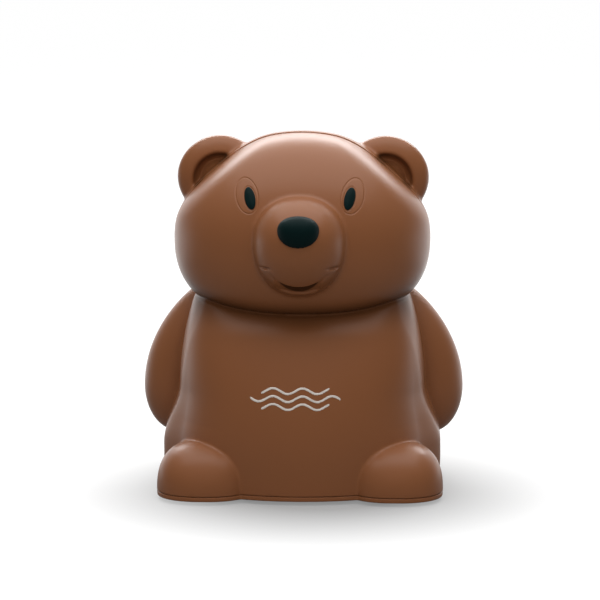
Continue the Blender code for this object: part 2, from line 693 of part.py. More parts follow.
def build_piston():
    """The wobble piston at bottom dead centre. Its big end is open wide enough for every crank angle and stroke."""
    big_end_z = SHAFT_Z - CRANK_R
    crown_z = big_end_z + ROD_LENGTH
    middle = (SHAFT_Y, big_end_z)
    reach = CRANK_BEARING_R + CRANK_R + 0.35
    low, high = CYLINDER_X - 3, CYLINDER_X + 3
    piston = slab(obround(CRANK_R, reach + 3, middle), low, high, "X")
    join(piston, box((low + 0.5, SHAFT_Y - 4, big_end_z + reach + 2.5), (high - 0.5, SHAFT_Y + 4, crown_z)))
    cut(piston, slab(obround(CRANK_R, reach, middle, 12), low - 5, high + 5, "X"))
    join(piston, rod(11, crown_z - 1.6, crown_z, "Z", (CYLINDER_X, SHAFT_Y), 32))
    origin = (CYLINDER_X, SHAFT_Y, crown_z)
    centre = (CYLINDER_X, SHAFT_Y, 0)
    finish(piston, "connecting_rod", ALUMINIUM, origin)
    low, high = crown_z + GAP, crown_z + 2.5
    cup = turned([(0, low), (BORE_R - 1, low), (BORE_R - 0.3, high), (9.5, high), (9.2, high - 1), (0, high - 1)], centre, segments=24)
    finish(cup, "piston_cup", PTFE, origin)
    low = high - 1 + GAP
    retainer = turned([(0, low), (8.6, low), (8.6, low + 1), (3, low + 1), (3, low + 2.2), (0, low + 2.2)], centre, "Z", 24)
    finish(retainer, "cup_retainer", STEEL, origin)


def block(low, high):
    return box(
        (CYLINDER_X - BLOCK / 2, SHAFT_Y - BLOCK / 2, low),
        (CYLINDER_X + BLOCK / 2, SHAFT_Y + BLOCK / 2, high),
        0.8,
    )


def block_holes(part):
    for x in (-BLOCK_SCREW, BLOCK_SCREW):
        for y in (-BLOCK_SCREW, BLOCK_SCREW):
            cut(part, rod(1.8, 90, 130, "Z", (CYLINDER_X + x, SHAFT_Y + y), 12))


def build_cylinder_and_valves():
    low = SHELF_TOP + GAP
    cylinder = bush(CYLINDER_R, BORE_R, low, CYLINDER_TOP, "Z", (CYLINDER_X, SHAFT_Y), 36)
    finish(cylinder, "cylinder", ALUMINIUM)
    plate = block(VALVE_PLATE_Z, VALVE_PLATE_Z + VALVE_PLATE_T)
    block_holes(plate)
    for side in (-1, 1):
        cut(plate, rod(1.5, 100, 110, "Z", (CYLINDER_X + side * PORT_X, SHAFT_Y + 4), 12))
    finish(plate, "valve_plate", STEEL)

    # Each reed turns about the edge where it is clamped to the valve plate.
    def reed(x, low_z, root_y, name):
        leaf = box((x - 2.8, root_y, low_z), (x + 2.8, root_y + 14, low_z + 0.3))
        finish(leaf, name, STEEL, (x, root_y, low_z))

    reed(CYLINDER_X - PORT_X, VALVE_PLATE_Z - 0.6, SHAFT_Y - 6, "intake_reed")
    reed(CYLINDER_X + PORT_X, HEAD_BLOCK_Z, SHAFT_Y - 6, "exhaust_reed")

    head = block(HEAD_BLOCK_Z, HEAD_BLOCK_Z + HEAD_BLOCK_T)
    block_holes(head)
    for side in (-1, 1):
        x = CYLINDER_X + side * PORT_X
        cut(head, box((x - 4.5, SHAFT_Y - 12, 100), (x + 4.5, SHAFT_Y + 12, HEAD_BLOCK_Z + 6)))
        tip = SHAFT_Y + BLOCK / 2 + BARB_LENGTH
        join(head, rod(BARB_R, SHAFT_Y + BLOCK / 2 - 2, tip, "Y", (x, BARB_Z), 12))
        cut(head, rod(1.1, SHAFT_Y + 8, SHAFT_Y + BLOCK / 2 + 12, "Y", (x, BARB_Z), 10))
    for i in range(5):
        x = CYLINDER_X - 12 + 6 * i
        cut(head, box((x - 1.2, SHAFT_Y - 9.5, HEAD_BLOCK_Z + 7.4), (x + 1.2, SHAFT_Y + 9.5, 130)))
    finish(head, "cylinder_head", ALUMINIUM)


# ---------------------------------------------------------------- service face and plumbing


def build_hoses():
    rear = SHAFT_Y + BLOCK / 2 + 2 * GAP
    for name, start_x, end_x, barb_y in (
        ("outlet_hose", CYLINDER_X + PORT_X, OUTLET_X, OUTLET_BARB_Y),
        ("intake_hose", CYLINDER_X - PORT_X, FILTER_X, FILTER_BARB_Y),
    ):
        shift = end_x - start_x
        middle = (rear + BARB_LENGTH + barb_y) / 2
        route = [
            (start_x, rear, BARB_Z),
            (start_x, rear + BARB_LENGTH, BARB_Z),
            (start_x + 0.05 * shift, rear + BARB_LENGTH + 2, BARB_Z - 0.5),
            (start_x + 0.5 * shift, middle, (BARB_Z + PORTS_Z) / 2),
            (start_x + 0.95 * shift, barb_y - 3, PORTS_Z + 0.5),
            (end_x, barb_y - 0.5, PORTS_Z),
            (end_x, barb_y + BARB_LENGTH, PORTS_Z),
        ]
        finish(hose(route, 3.3, 2.3), name, SILICONE)


def build_air_outlet():
    profile = [
        (BARB_R, OUTLET_BARB_Y),
        (BARB_R, 51.5),
        (5.0, 51.5),
        (5.0, BACK_Y + GAP),
        (7.2, BACK_Y + GAP),
        (7.2, BACK_Y + 2.0),
        (3.4, BACK_Y + 2.0),
        (3.4, BACK_Y + 7.5),
        (4.2, BACK_Y + 8.2),
        (3.4, BACK_Y + 12.5),
        (3.0, BACK_Y + 16.0),
        (1.0, BACK_Y + 16.0),
        (1.0, OUTLET_BARB_Y),
    ]
    finish(turned(profile, (OUTLET_X, 0, PORTS_Z), "Y", 16, hollow=True), "air_outlet", BLACK)


def build_filter():
    centre = (FILTER_X, 0, PORTS_Z)
    housing = [
        (1.0, FILTER_BARB_Y),
        (BARB_R, FILTER_BARB_Y),
        (BARB_R, 46.5),
        (10.5, 46.5),
        (10.5, 50.4),
        (12.0, 50.4),
        (12.0, FLANGE_Y),
        (10.5, FLANGE_Y),
        (10.5, BACK_Y + 0.4),
        (9.4, BACK_Y + 0.4),
        (9.4, 48.5),
        (1.0, 48.5),
    ]
    finish(turned(housing, centre, "Y", 20, hollow=True), "filter_housing", BLACK)
    face = BACK_Y + 0.8
    cap = turned([(0, face), (12.5, face), (12.5, face + 2.6), (11.7, face + 3.4), (0, face + 3.4)], centre, "Y", 20)
    join(cap, bush(9.0, 7.7, 50.5, face + 1, "Y", (FILTER_X, PORTS_Z), 20))
    join(cap, box((FILTER_X - 1.6, face + 2, PORTS_Z - 8.5), (FILTER_X + 1.6, face + 6.2, PORTS_Z + 8.5), 0.5))
    for i in range(6):
        angle = math.pi / 6 + math.pi / 3 * i
        spot = (FILTER_X + 5 * math.cos(angle), PORTS_Z + 5 * math.sin(angle))
        cut(cap, rod(1.0, face - 5, face + 10, "Y", spot, 10))
    origin = (FILTER_X, face, PORTS_Z)
    finish(cap, "filter_cap", BROWN, origin)
    finish(rod(7.4, 51, face - GAP, "Y", (FILTER_X, PORTS_Z), 24), "filter_pad", FELT, origin)


def build_switch():
    x, z = SWITCH_X, SWITCH_Z
    housing = box((x - 6.2, 41, z - 9.2), (x + 6.2, BACK_Y + 1, z + 9.2))
    join(housing, box((x - 7.6, BACK_Y + GAP, z - 10.6), (x + 7.6, BACK_Y + 2.1, z + 10.6), 0.5))
    cut(housing, box((x - 5.3, 51.8, z - 8.2), (x + 5.3, 70, z + 8.2)))
    for side in (-1, 1):
        join(housing, box((x - 2.2, TAG_Y, z + 5 * side - 0.4), (x + 2.2, 42, z + 5 * side + 0.4)))
    finish(housing, "switch_housing", BLACK)
    paddle = [(0.8, -7.5), (3.6, -7.5), (2.4, -3), (2.0, 0), (2.4, 3), (3.6, 7.5), (0.8, 7.5), (-1.6, 2), (-1.6, -2)]
    rocker = slab(paddle, -4.9, 4.9, "X")
    moved(rocker, Matrix.Translation((x, ROCKER_Y, z)) @ Matrix.Rotation(ROCKER_REST, 4, "X"))
    finish(rocker, "switch_rocker", BLACK, (x, ROCKER_Y, z))


def build_mains_inlet():
    x, z = INLET_X, INLET_Z
    inlet = box((x - 12, 41, z - 6), (x + 12, BACK_Y + 1, z + 6))
    join(inlet, box((x - 15, BACK_Y + GAP, z - 8), (x + 15, BACK_Y + 2.1, z + 8), 0.5))
    socket = slab(obround(4.6, 4.4, (x, z), upright=False), 45, 70, "Y")
    cut(inlet, socket)
    for side in (-1, 1):
        join(inlet, rod(1.2, 42, BACK_Y - 1, "Y", (x + 4.3 * side, z), 12))
        join(inlet, box((x + 6 * side - 2.2, TAG_Y, z - 0.4), (x + 6 * side + 2.2, 42, z + 0.4)))
    finish(inlet, "mains_inlet", BLACK)


def build_wires():
    """Three flexible leads. Each starts just clear of a tag and follows the casing's left side."""
    start_y = TAG_Y - 1.2
    live, neutral = INLET_X - 6, INLET_X + 6
    upper, lower = SWITCH_Z + 5, SWITCH_Z - 5
    coil_y = SHAFT_Y + 16.7
    runs = {
        "wire_inlet_to_switch": [
            (live, start_y, INLET_Z),
            (live - 1, start_y - 2.5, INLET_Z + 4),
            (SWITCH_X - 4, start_y - 3, lower - 6),
            (SWITCH_X, start_y, lower),
        ],
        "wire_switch_to_coil": [
            (SWITCH_X, start_y, upper),
            (SWITCH_X - 8, start_y - 1.5, upper),
            (-41, start_y - 1, 44),
            (-40, start_y - 4, 27),
            (-31, coil_y + 6, 22),
            (-24.4, coil_y, 21),
        ],
        "wire_inlet_to_coil": [
            (neutral, start_y, INLET_Z),
            (neutral - 4, start_y - 2.6, INLET_Z - 5),
            (neutral - 9, start_y - 8, INLET_Z - 9),
            (-24.4, coil_y, 17.5),
        ],
    }
    for name, route in runs.items():
        finish(hose(route, 0.9, sides=8, steps=3), name, WIRE_BLUE if "inlet_to_coil" in name else WIRE_BROWN)


build_casing()
build_base_plate()
build_face()
build_screws()
build_feet()
build_mounts_and_chassis()
build_stator()
build_brackets()
build_rotor()
build_piston()
build_cylinder_and_valves()
build_hoses()
build_air_outlet()
build_filter()
build_switch()
build_mains_inlet()
build_wires()
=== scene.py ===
"""Looks for the bear-shaped tabletop nebulizer: moulded shells, face, service panel, studio and camera.

Shapes are worked out in millimetres from the casing's own axis, where the bear faces -Y, and placed in the
row frame when a mesh is made. The casing's form is one signed distance field, so neighbouring shells match.
"""

import json
import math

import bmesh
import bpy
import numpy as np
import openvdb
from mathutils import Matrix, Vector


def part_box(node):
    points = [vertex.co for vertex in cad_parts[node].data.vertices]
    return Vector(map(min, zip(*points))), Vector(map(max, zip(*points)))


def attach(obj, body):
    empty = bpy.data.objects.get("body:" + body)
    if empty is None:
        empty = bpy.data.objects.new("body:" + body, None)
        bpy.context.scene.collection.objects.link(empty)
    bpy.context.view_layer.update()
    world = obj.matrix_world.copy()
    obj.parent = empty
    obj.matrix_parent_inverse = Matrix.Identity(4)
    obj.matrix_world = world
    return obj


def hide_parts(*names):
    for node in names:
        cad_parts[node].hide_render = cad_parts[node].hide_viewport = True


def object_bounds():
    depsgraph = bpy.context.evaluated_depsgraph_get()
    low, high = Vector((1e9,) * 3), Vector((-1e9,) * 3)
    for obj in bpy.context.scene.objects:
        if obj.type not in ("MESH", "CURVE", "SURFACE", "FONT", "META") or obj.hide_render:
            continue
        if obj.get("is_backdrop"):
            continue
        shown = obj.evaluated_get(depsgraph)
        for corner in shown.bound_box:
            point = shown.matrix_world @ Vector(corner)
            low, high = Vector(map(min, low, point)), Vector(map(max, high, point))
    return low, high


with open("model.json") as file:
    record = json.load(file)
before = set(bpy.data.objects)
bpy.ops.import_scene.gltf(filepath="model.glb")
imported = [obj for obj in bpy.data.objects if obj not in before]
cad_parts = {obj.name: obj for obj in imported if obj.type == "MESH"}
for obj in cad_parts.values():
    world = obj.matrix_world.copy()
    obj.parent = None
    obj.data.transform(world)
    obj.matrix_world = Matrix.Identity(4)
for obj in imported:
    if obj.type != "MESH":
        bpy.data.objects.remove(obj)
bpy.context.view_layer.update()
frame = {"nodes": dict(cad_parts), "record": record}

MM = 0.001
WALL = 3.2  # thicker than the CAD's wall, and only inward, so that a coarse grid can hold it
GAP = 0.3  # clearance between the service face and what stands on it
SEAM = 0.06  # half the gap that shows between two mouldings
TINY = 1e-6


def span(node):
    """A CAD node's lowest and highest corners, in millimetres from the casing's axis."""
    low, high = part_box(node)
    shift = Vector((0, AXIS_Y, 0))
    return low / MM - shift, high / MM - shift


def middle(node):
    low, high = span(node)
    return (low + high) / 2


# The seam between the two casing halves lies on the casing's axis.
AXIS_Y = (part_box("front_casing")[1].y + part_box("rear_casing")[0].y) / 2 / MM
PLATE_LOW, PLATE_HIGH = (corner.z for corner in span("base_plate"))
BACK_Y = span("rear_casing")[1].y

# The bear's form, close to the CAD's
HEAD_Z = 138.5
HEAD_WIDTH, HEAD_FRONT, HEAD_REAR, HEAD_UP, HEAD_DOWN = 70.4, 54.0, 52.0, 57.0, 48.5
JOWL_POWER = 2.45  # how square the head is towards its underside; 2 would be round
TEMPLE = (0.6706, 0.7417, 162.8)  # the flats from the crown to the cheeks: their slope and distance
MUZZLE, MUZZLE_RADII, MUZZLE_BELOW = (0, -47, 142.9), (25.6, 27, 24.3), 29.5
EAR, EAR_RADII = (45.6, 13, 168.5), (23.2, 9, 22.8)
EAR_DISH_AHEAD, EAR_DISH_RADII = 9.0, (15.4, 12.0, 15.0)
EAR_DOME_BEHIND, EAR_DOME_RADII = 0.8, (10.8, 5.2, 10.6)
ARM, ARM_RADII, ARM_BELOW = (70.9, 20, 51), (17.6, 17, 60), 26
ARM_BOW = 0.0057  # above its centre the arm curves inward with the square of the height
FOOT, FOOT_RADII = (52.3, -41, 5), (25.9, 25.5, 26.5)
EYE_X, EYE_Z, EYE_LEAN = 27.0, 165.6, math.radians(13)
EYE_RADII = (3.0, 5.8)
EYE_RING, EYE_RING_SHIFT = (6.1, 9.1), 1.4  # each eye's outer line, and how far off the pupil it stands
MOUTH_Z, MOUTH_HALF, MOUTH_RISE = 120.5, 11.3, 3.3
DIMPLE = (18.2, 130.4)
NOSE = (0, -70.3, 152.4)
NECK_GROOVE = 0.9
LIP_DEPTH, CREASE_DEPTH, DIMPLE_DEPTH, EYE_LINE_DEPTH = 2.1, 0.25, 1.3, 0.3
# Painted shade: how much darker the colour is painted in the mouth, the neck crease and the ear dishes,
# standing in for the shade that falls there, with less of it over the ear domes.
MOUTH_PAINTED_SHADE, NECK_PAINTED_SHADE, EAR_PAINTED_SHADE, EAR_DOME_LIT = 0.75, 0.6, 0.55, 0.3  # how dark the finish is in deep places


# ---------------------------------------------------------------- distance fields


def smooth_max(a, b, k):
    """The greater of two distances, with a rounded change-over about k wide."""
    h = np.maximum(k - np.abs(a - b), 0) / k
    return np.maximum(a, b) + h * h * k / 4


def smooth_min(a, b, k):
    return -smooth_max(-a, -b, k)


def smooth_step(low, high, value):
    """Rises from 0 at low to 1 at high, or falls where low is above high."""
    t = np.clip((value - low) / (high - low), 0, 1)
    return t * t * (3 - 2 * t)


def oval(x, y, z, a, b, c, power=2.0, rise=2.0):
    """Distance to a form with half-sizes a, b and c.

    The section across z is a superellipse of the given power, and rise is the same for the sections along z.
    """
    u, v, w = np.abs(x / a) + TINY, np.abs(y / b) + TINY, np.abs(z / c)
    if power == 2.0 and np.ndim(rise) == 0:
        size = np.sqrt(u * u + v * v + w * w)
        return (size - 1) * size / np.sqrt((u / a) ** 2 + (v / b) ** 2 + (w / c) ** 2)
    rho = (u**power + v**power) ** (1 / power)
    size = (rho**rise + w**rise) ** (1 / rise)
    across = (rho / size) ** (rise - 1)
    slope = (across * (u / rho) ** (power - 1) / a) ** 2 + (across * (v / rho) ** (power - 1) / b) ** 2
    return (size - 1) / np.sqrt(slope + ((w / size) ** (rise - 1) / c) ** 2)


def skull_field(p):
    """The head without its muzzle and ears: a squarish oval, with flats from the crown to the cheeks."""
    x, y, z = p.T
    depth = np.where(y < 0, HEAD_FRONT, HEAD_REAR)
    height = np.where(z > HEAD_Z, HEAD_UP, HEAD_DOWN)
    rise = np.where(z > HEAD_Z, 2, JOWL_POWER)
    skull = oval(x, y, z - HEAD_Z, HEAD_WIDTH, depth, height, 2.2, rise)
    temple = np.abs(x) * TEMPLE[0] + z * TEMPLE[1] - TEMPLE[2]
    return smooth_max(skull, temple, 8)


def over_smile(x, z):
    """The height of a point over the smile's line, measured square to it."""
    rise = MOUTH_Z + MOUTH_RISE * (x / MOUTH_HALF) ** 2
    slant = np.sqrt(1 + (2 * MOUTH_RISE * x / MOUTH_HALF**2) ** 2)
    return (z - rise) / slant


def bell(value, width):
    return np.exp(-((value / width) ** 2))


def muzzle_field(p):
    x, y, z = p.T
    height = np.where(z > MUZZLE[2], MUZZLE_RADII[2], MUZZLE_BELOW)
    return oval(x, z - MUZZLE[2], y - MUZZLE[1], MUZZLE_RADII[0], height, MUZZLE_RADII[1], 2.15)


def mouth_relief(p):
    """How deep the smile, its creases and its dimples are pressed into the muzzle."""
    x, y, z = p.T
    away, above = np.abs(x), over_smile(x, z)
    ahead = smooth_step(-52, -57, y)
    # The upper lip stands over a crescent, and the lower lip comes forward again under it.
    lips = smooth_step(13.5, 9.5, away) * smooth_step(0.25, -0.5, above) * smooth_step(-6.3, -4.6, above)
    # A very faint crease carries the smile on towards a short dimple in each cheek.
    crease = bell(above, 1.0) * smooth_step(10, 13, away) * smooth_step(18, 14, away)
    dimple = bell(away - DIMPLE[0], 2.4) * bell(z - DIMPLE[1], 0.8)
    return ahead * (LIP_DEPTH * lips + CREASE_DEPTH * crease + DIMPLE_DEPTH * dimple)


def eye_frame(p, side):
    """Distances across and along one eye, from its pupil's centre, seen from the front."""
    x, z = p[:, 0] * side - EYE_X, p[:, 2] - EYE_Z
    sin, cos = math.sin(EYE_LEAN), math.cos(EYE_LEAN)
    return x * cos - z * sin, x * sin + z * cos


def ring(across, along, radii):
    """Distance from an oval line."""
    return np.abs(oval(across, along, 0 * across, *radii, 1))


def eye_relief(p):
    """A fine oval groove round each eye, and a finer one round its pupil."""
    depth = np.zeros(len(p))
    for side in (-1, 1):
        near = (np.abs(p[:, 0] * side - EYE_X) < 14) & (np.abs(p[:, 2] - EYE_Z) < 16) & (p[:, 1] < -20)
        if near.any():
            across, along = eye_frame(p[near], side)
            line = ring(across - EYE_RING_SHIFT, along - EYE_RING_SHIFT, EYE_RING)
            pupil = ring(across, along, (EYE_RADII[0] + 0.25, EYE_RADII[1] + 0.25))
            depth[near] += EYE_LINE_DEPTH * (bell(line, 0.3) + bell(pupil, 0.3))
    return depth


def trunk_field(p):
    """The body: flanks that narrow upwards, a rounded belly ahead and the flat service face behind."""
    x, y, z = p.T
    width = 67.4 + 9.0 * (1 - smooth_step(24, 58, z))
    width = width - 0.0035 * np.maximum(z - 57, 0) ** 2 - 0.006 * np.maximum(16 - z, 0) ** 2
    shoulder = np.clip(51 + 1.03 * (106 - z), 20, 140)  # how far forward the flanks would meet
    rear = 66 - 0.003 * np.maximum(z - 50, 0) ** 2 - 0.02 * np.maximum(z - 90, 0) ** 2
    flank = np.where(
        y < 0,
        oval(x, y, 0 * z, width, shoulder, 1),
        oval(x, y, 0 * z, width, rear, 1, 2.4),
    )
    belly_depth = 64 - 0.003 * np.maximum(z - 20, 0) ** 2 - 0.03 * np.maximum(z - 88, 0) ** 2
    belly = oval(x, np.minimum(y, 0), 0 * z, 80 + 0.15 * (z - 20), belly_depth, 1)
    belly = np.where(y < 0, belly, -60)
    softness = np.clip(5 + 0.35 * (106 - z), 5, 28) * smooth_step(0, 30, -y)
    body = smooth_max(flank, belly, softness + TINY)
    body = smooth_max(body, y - BACK_Y, 4)
    return smooth_max(smooth_max(body, z - 118, 10), -30 - z, 10)


def foot_field(p, side):
    x, y, z = p[:, 0] - side * FOOT[0], p[:, 1] - FOOT[1], p[:, 2] - FOOT[2]
    return oval(x, z, y, FOOT_RADII[0], FOOT_RADII[2], FOOT_RADII[1], 2.5, 2.3)


def arm_field(p, side):
    x, y, z = p[:, 0] * side - ARM[0], p[:, 1] - ARM[1], p[:, 2] - ARM[2]
    x = x + ARM_BOW * np.maximum(z, 0) ** 2
    return oval(x, y, z, ARM_RADII[0], ARM_RADII[1], np.where(z < 0, ARM_BELOW, ARM_RADII[2]))


def ear_field(p, side):
    x, y, z = p[:, 0] - side * EAR[0], p[:, 1] - EAR[1], p[:, 2] - EAR[2]
    lobe = oval(x, y, z, *EAR_RADII, 2.1)
    dish = oval(x, y + EAR_DISH_AHEAD, z, *EAR_DISH_RADII)
    dome = oval(x, y - EAR_DOME_BEHIND, z, *EAR_DOME_RADII)
    return smooth_min(smooth_max(lobe, -dish, 2.5), smooth_max(dome, lobe - 0.5, 1.0), 0.8)


def trunk_and_limbs(p):
    body = trunk_field(p)
    for side in (-1, 1):
        body = smooth_min(body, foot_field(p, side), 1.5)
        body = smooth_min(body, arm_field(p, side), 1.4)
    return body


def head_and_ears(p):
    head = smooth_min(skull_field(p), muzzle_field(p), 2.6 - 0.8 * smooth_step(148, 164, p[:, 2]))
    for side in (-1, 1):
        head = smooth_min(head, ear_field(p, side), 2.2)
    return head


def bear_field(p):
    """Distance to the bear's whole outer form."""
    return smooth_min(head_and_ears(p), trunk_and_limbs(p), 1.6)


def mouth_shape(p):
    """How far inside the smile's open crescent a point lies, from 0 to 1."""
    x, y, z = p.T
    above = over_smile(x, z)
    thickness = 0.6 + 3.9 * np.sqrt(np.clip(1 - (x / MOUTH_HALF) ** 2, 0, 1))
    inside = smooth_step(0.25, -0.35, above) * smooth_step(-thickness - 0.5, -thickness + 0.7, above)
    return inside * smooth_step(MOUTH_HALF + 1.0, MOUTH_HALF - 1.5, np.abs(x)) * (y < -50)


def painted_shade(p):
    """How much shade is painted into the colour in deep places, from 0 to 1: the mouth, the neck and the
    ears.
    """
    x, y, z = p.T
    head, body = head_and_ears(p), trunk_and_limbs(p)
    neck = NECK_PAINTED_SHADE * bell(np.hypot(head, body), 13.0) * smooth_step(10, -20, y)
    shade = np.maximum(MOUTH_PAINTED_SHADE * mouth_shape(p), neck)
    # Painted shade in each ear's dish, lighter over its dome.
    for side in (-1, 1):
        across, up = x - side * EAR[0], z - EAR[2]
        hollow = smooth_step(16.0, 13.5, np.hypot(across, up)) * smooth_step(12, 6, y)
        hollow = hollow * smooth_step(-5, -1, y)
        dome = smooth_step(11.0, 8.0, np.hypot(across, up + 0.5))
        shade = np.maximum(shade, hollow * (EAR_PAINTED_SHADE - EAR_DOME_LIT * dome))
    return shade


def relief(p):
    """How far the fine lines of the face and the groove at the neck are pressed into the outer form."""
    head, body = head_and_ears(p), trunk_and_limbs(p)
    neck = NECK_GROOVE * bell(np.hypot(head, body), 1.4)
    outside = smooth_step(-1.2, -0.4, np.minimum(head, body))
    return outside * (neck + eye_relief(p) + mouth_relief(p))


# ---------------------------------------------------------------- meshing a field

PROBE = 0.02  # step for measuring a field's slope
TRUSTED = math.cos(math.radians(14))  # how far the field's normals may lean from the mesh's own
LEVEL = (1, 1, 0.2)  # relief is pressed in almost level, so that the upper lip doesn't hide the mouth
TETRAHEDRON = np.array([(1, -1, -1), (-1, -1, 1), (-1, 1, -1), (1, 1, 1)], float)


def slope_of(field, points):
    """The field's gradient at each point."""
    return sum(way * field(points + PROBE * way)[:, None] for way in TETRAHEDRON) / (4 * PROBE)


def settle(field, points, steps=4, reach=1.5):
    """Moves points onto the field's zero surface."""
    for _ in range(steps):
        slope = slope_of(field, points)
        size = np.maximum((slope**2).sum(1), 0.05)
        move = -slope * (field(points) / size)[:, None]
        length = np.linalg.norm(move, axis=1)[:, None]
        points = points + move * np.minimum(1, reach / np.maximum(length, TINY))
    return points


def sample(field, low, high, cell):
    """The surface where a field is zero, as points and triangles, from a grid of cells."""
    axes = [np.arange(a, b + cell, cell) for a, b in zip(low, high)]
    values = np.empty([len(a) for a in axes], np.float32)
    rest = np.stack(np.meshgrid(axes[1], axes[2], indexing="ij"), axis=-1).reshape(-1, 2)
    for i, x in enumerate(axes[0]):
        points = np.column_stack([np.full(len(rest), x), rest])
        values[i] = field(points).reshape(values.shape[1:])
    grid = openvdb.FloatGrid(9.0)
    grid.copyFromArray(values)
    points, triangles, quads = grid.convertToPolygons(isovalue=0.0)
    triangles = np.concatenate([triangles.reshape(-1, 3), quads[:, [0, 1, 2]], quads[:, [0, 2, 3]]])
    return np.array(low) + points.astype(float) * cell, triangles.astype(int)


def split_edges(points, triangles, wanted):
    """Halves the edges that wanted() picks, and divides the triangles that share them."""
    sides = np.sort(triangles[:, [0, 1, 1, 2, 2, 0]].reshape(-1, 2), axis=1)
    edges, which = np.unique(sides, axis=0, return_inverse=True)
    chosen = wanted(points[edges[:, 0]], points[edges[:, 1]], edges)
    number = np.where(chosen, len(points) + np.cumsum(chosen) - 1, -1)
    points = np.concatenate([points, points[edges[chosen]].mean(axis=1)])
    halfway = number[which.reshape(-1)].reshape(-1, 3)
    count = (halfway >= 0).sum(axis=1)
    made = [triangles[count == 0]]
    # Turn each triangle so that a lone split edge comes first, and a lone whole edge comes last.
    odd = np.where(count == 2, (halfway < 0).argmax(1) + 1, 0)
    odd = np.where(count == 1, (halfway >= 0).argmax(1), odd) % 3
    order = (odd[:, None] + np.arange(3)) % 3
    a, b, c = np.take_along_axis(triangles, order, 1).T
    ab, bc, ca = np.take_along_axis(halfway, order, 1).T
    patterns = {
        1: [(a, ab, c), (ab, b, c)],
        2: [(a, ab, c), (ab, b, bc), (ab, bc, c)],
        3: [(a, ab, ca), (ab, b, bc), (ca, bc, c), (ab, bc, ca)],
    }
    for splits, parts in patterns.items():
        made += [np.column_stack(part)[count == splits] for part in parts]
    return points, np.concatenate(made)


def unit(vectors):
    return vectors / np.maximum(np.linalg.norm(vectors, axis=1), TINY)[:, None]


def field_mesh(
    name, field, low, high, cell, longest=None, pressed=None, shade=None, rounds=4, turn=13.0, shortest=0.45
):
    """A mesh of the field's zero surface, finer where it curves, with the field's own normals.

    longest, if given, is the greatest edge length allowed near each point, pressed the depth of its
    relief, and shade how much shade is painted into its colour there.
    """
    points, triangles = sample(field, low, high, cell)
    points = settle(field, points)
    bend = math.cos(math.radians(turn))
    for _ in range(rounds):
        normals = unit(slope_of(field, points))

        def wanted(start, end, edges):
            length = np.linalg.norm(end - start, axis=1)
            curved = (normals[edges[:, 0]] * normals[edges[:, 1]]).sum(1) < bend
            long = longest(start / 2 + end / 2) < length if longest else False
            return (curved & (length > 2 * shortest)) | long

        count = len(points)
        points, triangles = split_edges(points, triangles, wanted)
        points[count:] = settle(field, points[count:], 3)
    normals = unit(slope_of(field, points))
    # Painted shade, kept on the points as an attribute that darkens the colour.
    painted_shades = shade(points) if shade else np.zeros(len(points))
    if pressed:
        points = points - unit(normals * LEVEL) * pressed(points)[:, None]
        normals = unit(slope_of(lambda p: field(p) + pressed(p), points))
    facing = face_normals(points, triangles)
    if (facing * normals[triangles[:, 0]]).sum() < 0:
        triangles, facing = triangles[:, ::-1], -facing
    # Where the field turns too sharply for the mesh to follow, the mesh's own normals shade better.
    own = [np.bincount(triangles.ravel(), np.repeat(facing[:, i], 3), len(points)) for i in range(3)]
    own = unit(np.stack(own, axis=1))
    normals = np.where((own * normals).sum(1)[:, None] > TRUSTED, normals, own)
    mesh = bpy.data.meshes.new(name)
    mesh.from_pydata(in_row(points), [], triangles)
    mesh.shade_smooth()
    mesh.normals_split_custom_set_from_vertices(normals)
    if shade:
        mesh.attributes.new("painted_shade", "FLOAT", "POINT").data.foreach_set("value", painted_shades.astype(np.float32))
    return linked(name, mesh)


def face_normals(points, triangles):
    """Each triangle's normal, as long as twice its area."""
    a, b, c = (points[triangles[:, i]] for i in range(3))
    return np.cross(b - a, c - a)


def in_row(points):
    """Points in the row frame, in metres."""
    return (np.asarray(points) + (0, AXIS_Y, 0)) * MM


def linked(name, mesh):
    obj = bpy.data.objects.new(name, mesh)
    bpy.context.scene.collection.objects.link(obj)
    return obj


# ---------------------------------------------------------------- casing shells

SCREWS = [middle(f"casing_screw_{i}") for i in (1, 2, 3, 4)]
BASE_SCREWS = [middle(f"base_screw_{i}") for i in (1, 2, 3, 4)]
SCREW_SEAT_Y = span("casing_screw_1")[1].y - 2.4
POST_R, RECESS_R = 5.2, 3.7
OUTLET, FILTER, SWITCH, INLET = (
    middle(node) for node in ("air_outlet", "filter_cap", "switch_housing", "mains_inlet")
)
OUTLET_HOLE, FILTER_HOLE = 5.3, 10.9
SWITCH_WINDOW, INLET_WINDOW = (6.6, 9.6), (12.4, 6.4)  # half-sizes across and up
VENTS, VENT_AT, VENT_HALF, VENT_R, VENT_PITCH = 7, (19, 21.5), 14.5, 1.5, 6.5
SERVICE_DEPTH_Y = 40  # how far in the openings of the service face are cut


def hole(p, x, z, radius):
    return np.hypot(p[:, 0] - x, p[:, 2] - z) - radius


def window(p, x, z, half_x, half_z, corner=1.0):
    across = np.maximum(np.abs(p[:, 0] - x) - half_x + corner, 0)
    up = np.maximum(np.abs(p[:, 2] - z) - half_z + corner, 0)
    return np.hypot(across, up) - corner


def walls(p):
    """The moulded wall of both casing halves, with the posts for their screws."""
    outer = bear_field(p)
    shell = smooth_max(outer, -(outer + WALL), 0.5)
    for screw in SCREWS:
        post = np.maximum(hole(p, screw.x, screw.z, POST_R), outer + 0.6)
        shell = smooth_min(shell, post, 0.5)
    return smooth_max(shell, PLATE_HIGH + 2 * SEAM - p[:, 2], 0.6)


def front_field(p):
    return smooth_max(walls(p), p[:, 1] + SEAM, 0.4)


